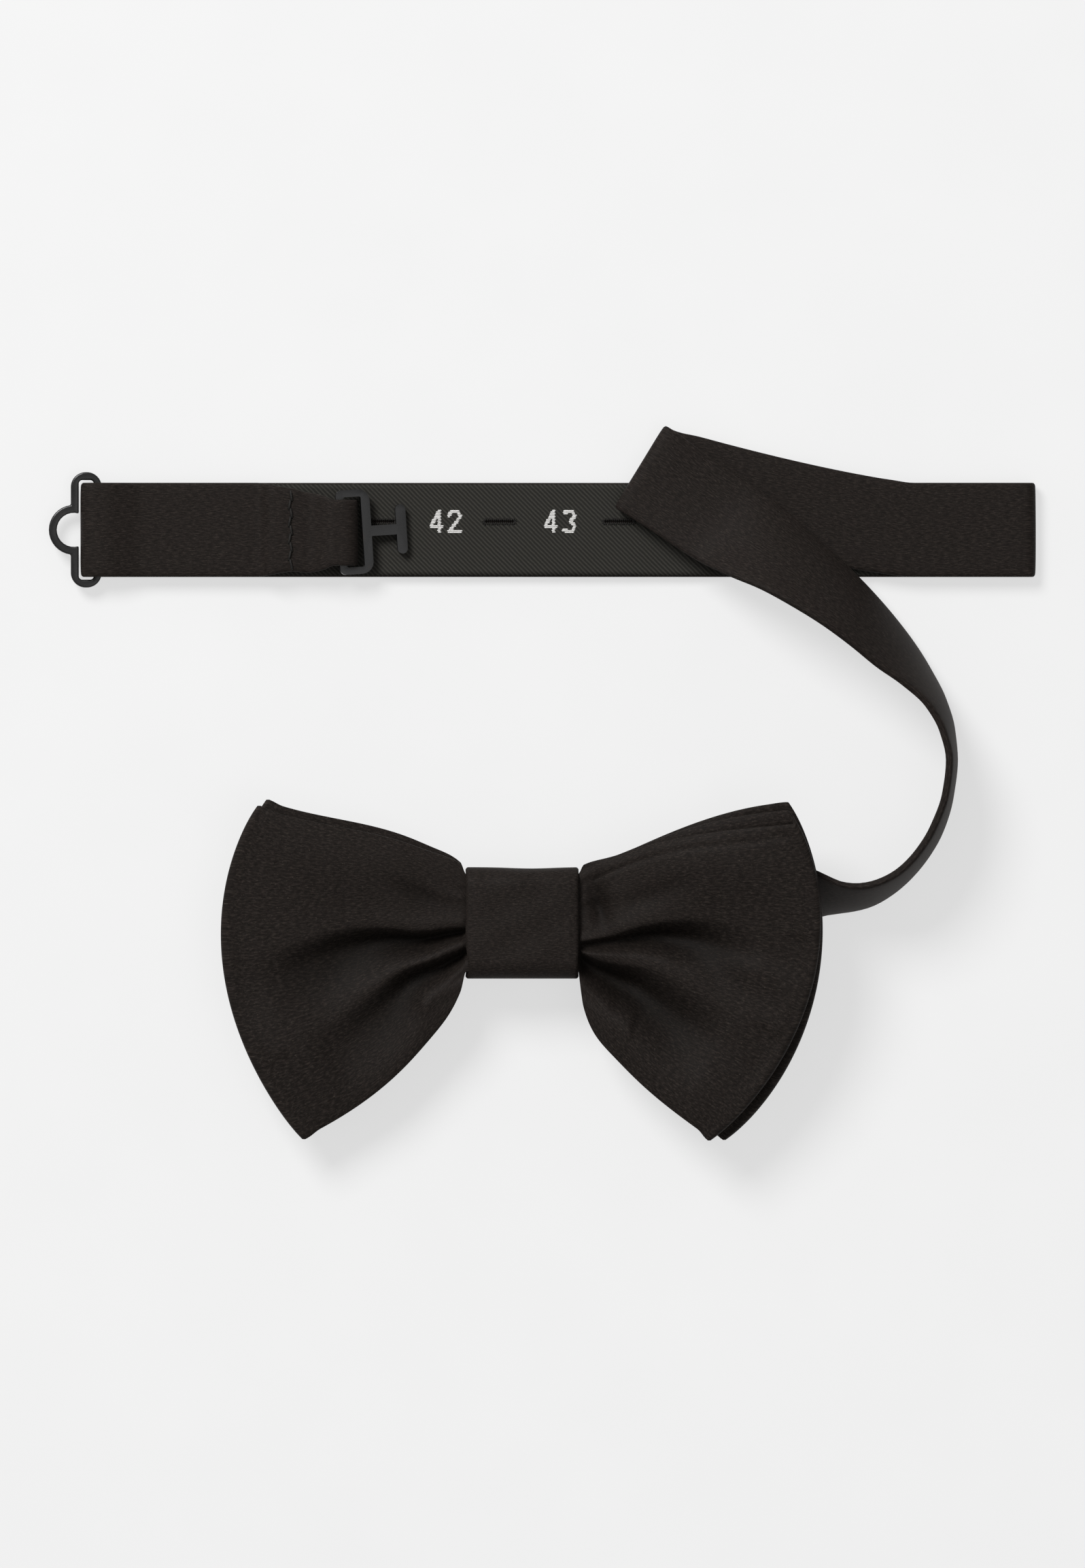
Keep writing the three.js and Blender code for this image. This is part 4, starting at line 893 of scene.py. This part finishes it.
def loop_path(wing_steps):
    """The folded strip from the middle of its back, round both outer edges: s, ply and turn."""
    out = [k * KNOT_SHARE for k in (0.02, 0.2, 0.4, 0.6, 0.75, 0.88, 1.0)]
    out += [lerp(KNOT_SHARE, 1.0, (k / wing_steps) ** 1.05) for k in range(1, wing_steps)]
    left = [(-s, -1, 0) for s in out] + [(-1, lerp(-1, 1, k / 8), k / 8) for k in range(9)]
    left += [(-s, 1, 1) for s in out[::-1]]
    return np.array(left + [(-s, ply, turn) for s, ply, turn in left[::-1]], dtype=float)


def springiness(x, q):
    """How freely the pleats show: not at all under the knot or at the outer fold."""
    return smooth(np.abs(x), HALF_KNOT - 1.2, HALF_KNOT + 0.8) * (1 - smooth(q, 0.93, 1.0))


def bow_panel(layer, wing_steps=96, height_steps=84):
    """A strip folded at both outer ends, pleated and gathered into the knot, as one closed skin."""
    path = loop_path(wing_steps)
    s = path[:, 0][:, None]
    side = np.sign(path[:, 1])[:, None]
    turn = path[:, 2][:, None]
    at_fold = (np.abs(path[:, 0]) > 0.9999)[:, None]
    edge = np.linspace(pi / 2, -pi / 2, 7)[1:-1]
    face = np.linspace(0, 1, height_steps)
    back = np.linspace(1, 0, height_steps // 3)
    # v passes 0 and 1 a little where the cloth's own edge is round; n is the share of its thickness.
    bulge = 0.006 * np.cos(edge)
    v = np.concatenate([face, 1 + bulge, back, -bulge[::-1]])
    n = np.concatenate([
        np.full(len(face), 0.5), 0.5 * np.sin(edge), np.full(len(back), -0.5), 0.5 * np.sin(edge[::-1]),
    ])
    ply = np.where(at_fold, lerp(-1.0, 1.0, turn), side)
    shape = (len(path), len(v))
    s, v, n, ply = (np.broadcast_to(a, shape) for a in (s, v, n, ply))
    plan, middle, thick, ply_thick = panel_rows(layer, s, np.clip(v, 0, 1), ply)
    rim = np.where(v > 1, v - 1, np.where(v < 0, v, 0)) * 2 * EAR_HEIGHT * 3
    # The plies come together along the panel's long edges, where they are sewn.
    q = share_out(s)
    pinch = np.abs(2 * np.clip(v, 0, 1) - 1) ** 14 * smooth(q, 0.02, 0.3)
    half_gap = lerp((thick - ply_thick) / 2, ply_thick / 2 + 0.07, pinch)
    radius = half_gap + n * ply_thick
    x, y = plan[..., 0].copy(), plan[..., 1] + rim * 0.3
    z = middle + side * radius
    angle = pi * turn
    fold_x = x + np.sign(s) * (radius * np.sin(angle) - EDGE_THICK / 2)
    drawn_x = x - np.sign(s) * smooth(q, 0.9, 1.0) * EDGE_THICK / 2
    x = np.where(at_fold, fold_x, np.where(q > 0, drawn_x, x))
    z = np.where(at_fold, middle - radius * np.cos(angle), z)
    follow = np.where(side > 0, 1.0, 1.0 if layer == "front" else 0.35)
    fade = springiness(x, q)
    rise, deep = relief(x, y)
    z = z + rise * follow * fade
    if layer == "front":
        _, signed = near_line(LONG_SEAM, x, y)
        z -= np.where((side > 0) & (x > 12) & (n > 0), 0.28 * np.exp(-(signed / 0.32) ** 2), 0)
    rings = np.stack([x, y, z], axis=-1)
    along = running(np.abs(np.diff(path[:, 0])) * WING_EDGE_X + 0.05)
    around = running(np.abs(np.diff(v[0])) * 1.7 * EAR_HEIGHT * 2 + 0.05)
    around = np.append(around, around[-1] + 0.3)
    cloth = tube(f"bow_{layer}_cloth", rings, along, around)
    # How much shade is painted on each point of the cloth's face, deep in its pleats.
    attribute = cloth.data.attributes.new("painted_fold_shade", "FLOAT", "POINT")
    attribute.data.foreach_set("value", (deep * follow * fade * (n > 0)).ravel().astype(np.float32))
    return cloth


BOW_CANVAS_THICK = 0.25


def bow_canvas(layer):
    """The interlining between a panel's plies, following its pleats."""
    shares = np.concatenate([np.linspace(0, KNOT_SHARE, 6), np.linspace(KNOT_SHARE, 0.95, 50)[1:]])
    path = np.concatenate([-shares[::-1], shares[1:]])
    rows = np.linspace(0.04, 0.96, 44)
    v = np.concatenate([rows, rows[::-1]])
    n = np.repeat([0.5, -0.5], len(rows))
    shape = (len(path), len(v))
    s = np.broadcast_to(path[:, None], shape)
    v, n = np.broadcast_to(v, shape), np.broadcast_to(n, shape)
    # It is drawn in near the knot, so that it stays inside the gathered satin.
    v = 0.5 + (v - 0.5) * lerp(0.72, 1.0, smooth(share_out(s), 0.05, 0.45))
    plan, middle, _, _ = panel_rows(layer, s, v, np.ones(shape))
    x, y = plan[..., 0], plan[..., 1]
    follow = 1.0 if layer == "front" else 0.65
    z = middle + n * BOW_CANVAS_THICK + relief(x, y)[0] * follow * springiness(x, share_out(s))
    around = np.append(np.concatenate([rows, rows[::-1]]) * 30, 0)  # a wing is some 30 mm high
    return tube(f"bow_{layer}_canvas", np.stack([x, y, z], axis=-1), path * WING_EDGE_X, around)


def bow():
    for layer in ("front", "back"):
        cloth = bow_panel(layer)
        finish_piece(cloth, SHADE_PAINTED_SATIN, "satin", f"bow_{layer}", body="bow_and_band")
        canvas = bow_canvas(layer)
        finish_piece(canvas, CANVAS, "interlining", f"bow_{layer}_interlining", body="bow_and_band")


# ---- knot

def rounded_section(half, low, high, low_round, high_round, count):
    """Points round a rectangle with its own corner radius below and above, evenly spaced."""
    corners = [
        (half - low_round, low + low_round, low_round, -90),
        (half - high_round, high - high_round, high_round, 0),
        (high_round - half, high - high_round, high_round, 90),
        (low_round - half, low + low_round, low_round, 180),
    ]
    points = []
    for cx, cy, r, start in corners:
        for k in range(13):
            a = radians(start + 90 * k / 12)
            points.append((cx + r * cos(a), cy + r * sin(a)))
    points = np.array(points + points[:1])
    step = running(np.linalg.norm(np.diff(points, axis=0), axis=1))
    at = np.linspace(0, step[-1], count, endpoint=False)
    return np.stack([np.interp(at, step, points[:, k]) for k in (0, 1)], axis=-1), step[-1]


# The wrap's corner radii, at the back and at the front
KNOT_ROUND, KNOT_ROUND_INSIDE = (1.4, 3.2), (0.4, 2.2)


def knot():
    """The satin wrapped round the gathers, a closed ring of cloth."""
    half, low, high = (KNOT_HIGH[1] - KNOT_LOW[1]) / 2, KNOT_LOW[2], KNOT_HIGH[2]
    count = 120
    outer, length = rounded_section(half, low, high, *KNOT_ROUND, count)
    half_in, low_in, high_in = half - WRAP_THICK, low + WRAP_THICK, high - WRAP_THICK
    inner, _ = rounded_section(half_in, low_in, high_in, *KNOT_ROUND_INSIDE, count)
    # Across the wrap: its face, a round edge, its back and the other edge; depth is 0 on its face.
    edge_round = 0.45
    reach = HALF_KNOT - edge_round
    face = np.linspace(-reach, reach, 46)
    edge = np.linspace(pi / 2, -pi / 2, 8)[1:-1]
    bulge, sunk = edge_round * np.cos(edge), 0.5 - 0.5 * np.sin(edge)
    x = np.concatenate([face, reach + bulge, face[::-2], -reach - bulge[::-1]])
    depth = np.concatenate([np.zeros(len(face)), sunk, np.ones(len(face[::-2])), sunk[::-1]])
    ring = outer[:, None, :] * (1 - depth[None, :, None]) + inner[:, None, :] * depth[None, :, None]
    y, z = ring[..., 0], ring[..., 1]
    xs = np.broadcast_to(x, y.shape).copy()
    front = smooth(z, 9.0, 12.0)
    shown = (1 - depth)[None, :]
    # The front is a little crowned, with soft slanting creases and a pressed line by each edge.
    pressed = np.exp(-((np.abs(xs) - HALF_KNOT + 0.75) / 0.22) ** 2)
    crown = 0.25 * (1 - (xs / HALF_KNOT) ** 2) - 0.3 * smooth(np.abs(xs), HALF_KNOT - 0.6, HALF_KNOT)
    crown = crown - 0.14 * pressed
    creases = 0.10 * np.sin(0.8 * xs + 0.35 * y + 0.5) + 0.07 * np.sin(0.45 * xs - 0.9 * y + 2.0)
    z = z + front * shown * (crown - 0.25 + creases * (1 - (xs / HALF_KNOT) ** 4))
    slope = 0.75 * smooth(-y, 0, half) ** 1.5 + 0.1 * np.sin(0.3 * y + 0.4)
    xs = xs + front * np.where(xs < 0, slope, -0.25 * slope) * smooth(np.abs(xs), 4, HALF_KNOT)
    y = y - 0.22 * shown * np.exp(-((xs - 1.5) / 5) ** 2) * smooth(y, half - 1.5, half)
    around = np.append(running(np.abs(np.diff(x)) + 0.1), 42.0)
    along = np.linspace(0, length, count + 1)
    cloth = closed_ring("knot_cloth", np.stack([xs, y, z], axis=-1), along, around)
    finish_piece(cloth, SATIN, "satin", "knot_wrap", body="bow_and_band")


def gather_thread():
    """Thread wound nine times round the gathers, inside the knot."""
    low, high = box_mm("gather_tie")
    radius = 0.17
    half = (high[1] - low[1]) / 2 - radius
    turns, steps = 9, 40
    around, _ = rounded_section(half, low[2] + radius, high[2] - radius, 1.2, 1.2, steps)
    path = []
    for k in range(turns * steps + 1):
        y, z = around[k % steps]
        path.append((lerp(low[0] + radius, high[0] - radius, k / (turns * steps)), y, z))
    wound = thread("gather_thread", [path], radius, sides=8)
    finish_piece(wound, BLACK_THREAD, "thread", "gather_tie", body="bow_and_band")


# ---- size tape

TAPE_THICK = 0.3
SLIT_LENGTH, SLIT_WIDTH = 4.7, 0.5
SLITS = [middle_mm(f"buttonhole_{i}")[:2] for i in range(1, 6)]


def size_tape():
    """A flat tape with a slit at each buttonhole, slightly wavy and raised along its selvedges."""
    slit_y = SLITS[0][1]
    xs = set(np.round(np.linspace(TAPE_LOW[0], TAPE_HIGH[0], 146), 3))
    for x, _ in SLITS:
        xs |= {round(x - SLIT_LENGTH / 2, 3), round(x + SLIT_LENGTH / 2, 3)}
    ys = set(np.round(np.linspace(TAPE_LOW[1], TAPE_HIGH[1], 22), 3))
    ys |= {round(slit_y - SLIT_WIDTH / 2, 3), round(slit_y + SLIT_WIDTH / 2, 3)}
    xs, ys = np.array(sorted(xs)), np.array(sorted(ys))
    grid_x, grid_y = np.meshgrid(xs, ys, indexing="ij")
    across = (grid_y - BASE_Y) / ((TAPE_HIGH[1] - TAPE_LOW[1]) / 2)
    selvedge = 0.06 * np.exp(-((np.abs(across) - 0.95) / 0.04) ** 2)
    wave = 0.03 * np.sin(0.23 * grid_x + 1.2 * across) + 0.02 * np.sin(0.61 * grid_x - 2 * across + 1)
    z = TAPE_TOP - 0.02 + (selvedge + wave) * (1 - np.abs(across) ** 40 * 0.5)
    vertices = np.stack([grid_x, grid_y, z], -1).reshape(-1, 3)
    faces, uv = [], []
    rows = len(ys)
    for i in range(len(xs) - 1):
        for j in range(rows - 1):
            mid_x, mid_y = (xs[i] + xs[i + 1]) / 2, (ys[j] + ys[j + 1]) / 2
            if any(abs(mid_x - x) < SLIT_LENGTH / 2 and abs(mid_y - y) < SLIT_WIDTH / 2 for x, y in SLITS):
                continue
            corner = [(i, j), (i + 1, j), (i + 1, j + 1), (i, j + 1)]
            faces.append([a * rows + b for a, b in corner])
            uv += [(xs[a], ys[b]) for a, b in corner]
    tape = mesh_object("size_tape_cloth", vertices, faces, uv)
    thicken(tape, TAPE_THICK * MM)
    finish_piece(tape, TWILL, "lining", "size_tape", body="bow_and_band")


def thicken(obj, thickness):
    """Gives a flat sheet an underside and edges, below it, and drops loose vertices."""
    work = bmesh.new()
    work.from_mesh(obj.data)
    loose = [v for v in work.verts if not v.link_faces]
    bmesh.ops.delete(work, geom=loose, context="VERTS")
    for face in work.faces:
        if face.normal.z < 0:
            face.normal_flip()
    work.to_mesh(obj.data)
    work.free()
    modifier = obj.modifiers.new("thickness", "SOLIDIFY")
    modifier.thickness = thickness
    modifier.offset = -1
    evaluated = obj.evaluated_get(bpy.context.evaluated_depsgraph_get())
    obj.data = bpy.data.meshes.new_from_object(evaluated)
    obj.modifiers.clear()


def buttonholes():
    """Each slit is worked all round with small stitches, fanned out round its ends."""
    count = int(SLIT_LENGTH / 0.32)
    half = SLIT_LENGTH / 2
    inner, outer = SLIT_WIDTH / 2 - 0.12, SLIT_WIDTH / 2 + 0.32
    for i, (cx, cy) in enumerate(SLITS):
        stitches = []
        for k in range(count + 1):
            for side in (-1, 1):
                stitches.append((lerp(-half, half, k / count), 0.06 * sin(5.0 * k + side), side))
        for end in (-1, 1):
            for k in range(-2, 3):
                a = radians(38 * k)
                stitches.append((end * half, end * cos(a), sin(a)))
        paths = []
        for k, (x, way_x, way_y) in enumerate(stitches):
            reach = outer + 0.06 * sin(7.3 * k + i)
            points = []
            for share, height in ((0, -0.14), (0.1, 0.0), (0.45, 0.06), (0.85, 0.02), (1, -0.09)):
                far = lerp(inner, reach, share)
                points.append((cx + (x + way_x * far), cy + way_y * far, TAPE_TOP + height))
            paths.append(points)
        obj = thread(f"buttonhole_thread_{i + 1}", paths, 0.1)
        finish_piece(obj, BLACK_THREAD, "thread", f"buttonhole_{i + 1}", body="bow_and_band")


# The lines of each digit, in shares of its width and height.
DIGIT_LINES = {
    1: [[(0.55, 0), (0.55, 1)], [(0.15, 0.75), (0.55, 1)]],
    2: [[(0, 0.8), (0.2, 1), (0.8, 1), (1, 0.75), (0, 0), (1, 0)]],
    3: [[(0.05, 0.95), (0.8, 1), (1, 0.75), (0.6, 0.53), (1, 0.28), (0.75, 0), (0, 0.06)]],
    4: [[(0.72, 0), (0.72, 1), (0, 0.25), (1, 0.25)]],
}
DIGIT_HEIGHT = 3.4
DIGIT_WIDTH = 0.56 * DIGIT_HEIGHT
DIGIT_HALF_STROKE = 0.31


def stroke_distance(value, x, y):
    best = 1e9
    for line in DIGIT_LINES[value]:
        points = (np.array(line) - 0.5) * (DIGIT_WIDTH, DIGIT_HEIGHT)
        for a, b in zip(points, points[1:]):
            d = b - a
            t = min(max(((x - a[0]) * d[0] + (y - a[1]) * d[1]) / (d @ d), 0), 1)
            best = min(best, hypot(x - a[0] - t * d[0], y - a[1] - t * d[1]))
    return best


def woven_digit(name, value, middle):
    """A digit woven in rows: each row's runs of white weft are floats of thread on the tape."""
    pitch_x, pitch_y = 0.2, 0.26
    runs = []
    rows = int(DIGIT_HEIGHT / pitch_y / 2) + 2
    for r in range(-rows, rows + 1):
        y = r * pitch_y
        run = []
        for c in range(-9, 11):
            x = (c + 0.5 * (r % 2)) * pitch_x
            if c < 10 and stroke_distance(value, x, y) < DIGIT_HALF_STROKE:
                run.append(x)
            elif run:
                runs.append((run[0] - pitch_x / 2, run[-1] + pitch_x / 2, y))
                run = []
    lines = []
    for x0, x1, y in runs:
        points = []
        steps = max(int((x1 - x0) / 0.12), 4)
        for k in range(steps + 1):
            t = k / steps
            lift = 0.02 * sin(pi * t) ** 0.4 if 0 < t < 1 else -0.08
            points.append((middle[0] + lerp(x0, x1, t), middle[1] + y, TAPE_TOP + lift))
        lines.append(points)
    return thread(name, lines, pitch_y * 0.46)


def numerals():
    for size in (41, 42, 43, 44):
        for place, value in (("tens", size // 10), ("units", size % 10)):
            node = f"size_{size}_{place}"
            obj = woven_digit(f"{node}_weave", value, middle_mm(node))
            finish_piece(obj, WHITE_THREAD, "numerals", node, body="bow_and_band")


# ---- seams

def chain_stitches(name, x, y_from, y_to, z, pitch, spread):
    """A row of uneven hand stitches across a band: short slanting threads that overlap."""
    paths = []
    count = int(abs(y_to - y_from) / pitch)
    for k in range(count):
        y0 = lerp(y_from, y_to, k / count)
        y1 = lerp(y_from, y_to, (k + 1.35) / count)
        a = x + spread * sin(3.1 * k)
        b = x + spread * sin(3.1 * k + 2.0)
        points = []
        for share, height in ((0, -0.12), (0.18, 0.14), (0.5, 0.24), (0.82, 0.14), (1, -0.12)):
            points.append((lerp(a, b, share), lerp(y0, y1, share), z + height))
        paths.append(points)
    return thread(name, paths, 0.2)


def seams():
    top = TAIL_TOP_PLY + BAND_THICK / 2
    row = chain_stitches("tail_seam_thread", TAIL_SEAM_X, BASE_Y + 6.6, BASE_Y - 6.2, top, 1.3, 0.32)
    finish_piece(row, BLACK_THREAD, "thread", "tail_stitches", body="tail")
    low, high = box_mm("tab_stitches")
    top, x = 2 * BAND_THICK + GAP, (low[0] + high[0]) / 2
    row = chain_stitches("tab_seam_thread", x, low[1], high[1], top, 1.1, 0.2)
    finish_piece(row, BLACK_THREAD, "thread", "tab_stitches", body="bow_and_band")


# ---- fittings

WIRE_ROUND = 0.3  # how far the pressed wire's edges are rounded


def fitting(node):
    """A copy of a fitting's CAD mesh with its edges rounded; its body has the node's name."""
    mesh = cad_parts[node].data.copy()
    mesh.name = f"{node}_metal"
    work = bmesh.new()
    work.from_mesh(mesh)
    bmesh.ops.remove_doubles(work, verts=work.verts, dist=1e-6)
    bmesh.ops.dissolve_limit(
        work, angle_limit=radians(1.5), verts=work.verts, edges=work.edges, delimit=set(),
    )
    sharp = [e for e in work.edges if len(e.link_faces) == 2 and e.calc_face_angle(0) > radians(50)]
    bmesh.ops.bevel(
        work, geom=sharp, offset=WIRE_ROUND * MM, segments=3, profile=0.6, affect="EDGES",
        clamp_overlap=True,
    )
    bmesh.ops.triangulate(work, faces=[f for f in work.faces if len(f.verts) > 4])
    work.to_mesh(mesh)
    work.free()
    mesh.polygons.foreach_set("use_smooth", [True] * len(mesh.polygons))
    obj = bpy.data.objects.new(f"{node}_metal", mesh)
    bpy.context.scene.collection.objects.link(obj)
    mesh.set_sharp_from_angle(angle=radians(40))
    finish_piece(obj, METAL, "fittings", node, body=node)


# ---- stage, light and camera

LIT_PLACE = (0.005, 0.025, 0.0)  # where both lamps point, in the middle of the tie


def stage():
    bpy.ops.mesh.primitive_plane_add(size=3.0, location=(0, 0, -0.0002))
    floor = bpy.context.object
    floor.name = "floor"
    # Pale card, with a little light of its own so that the object's shade on it stays soft.
    floor.data.materials.append(grained_material(
        "floor", 40, (0.25, 0.25, 0.25), (0.26, 0.26, 0.26), Roughness=0.9, Specular_IOR_Level=0.1,
        Emission_Color=(1, 1, 1, 1), Emission_Strength=0.63,
    ))
    world = bpy.data.worlds.new("studio")
    world.use_nodes = True
    bpy.context.scene.world = world
    set_inputs(world.node_tree.nodes["Background"], Color=(1, 1, 1, 1), Strength=0.28)
    for name, place, size, power in (
        ("key", (-0.65, 0.9, 1.2), 0.7, 23.5),
        ("fill", (0.3, -0.2, 1.4), 0.9, 2.0),
    ):
        data = bpy.data.lights.new(name, "AREA")
        data.shape = "DISK"
        data.size = size
        data.energy = power
        lamp = bpy.data.objects.new(name, data)
        lamp.location = place
        aim = Vector(LIT_PLACE) - Vector(place)
        lamp.rotation_euler = aim.to_track_quat("-Z", "Y").to_euler()
        bpy.context.scene.collection.objects.link(lamp)


SENSOR = 36.0
CAMERA_HEIGHT = 6.0
VIEW_HEIGHT = 0.2635  # the length of table from the bottom to the top of the picture
VIEW_CENTRE = (0.00343, 0.02331)


def camera():
    data = bpy.data.cameras.new("camera")
    data.sensor_fit = "VERTICAL"
    data.sensor_width = data.sensor_height = SENSOR
    data.lens = SENSOR * CAMERA_HEIGHT / VIEW_HEIGHT
    data.clip_start = 0.01
    data.clip_end = 20.0
    view = bpy.data.objects.new("camera", data)
    view.location = (*VIEW_CENTRE, CAMERA_HEIGHT)
    bpy.context.scene.collection.objects.link(view)
    bpy.context.scene.camera = view


# ---- the whole object

camera()
neck_band()
tail()
bow()
knot()
gather_thread()
size_tape()
buttonholes()
numerals()
seams()
for name in ("eye", "catch_hook", "t_hook"):
    fitting(name)
stage()
bpy.context.scene.view_settings.view_transform = "Standard"
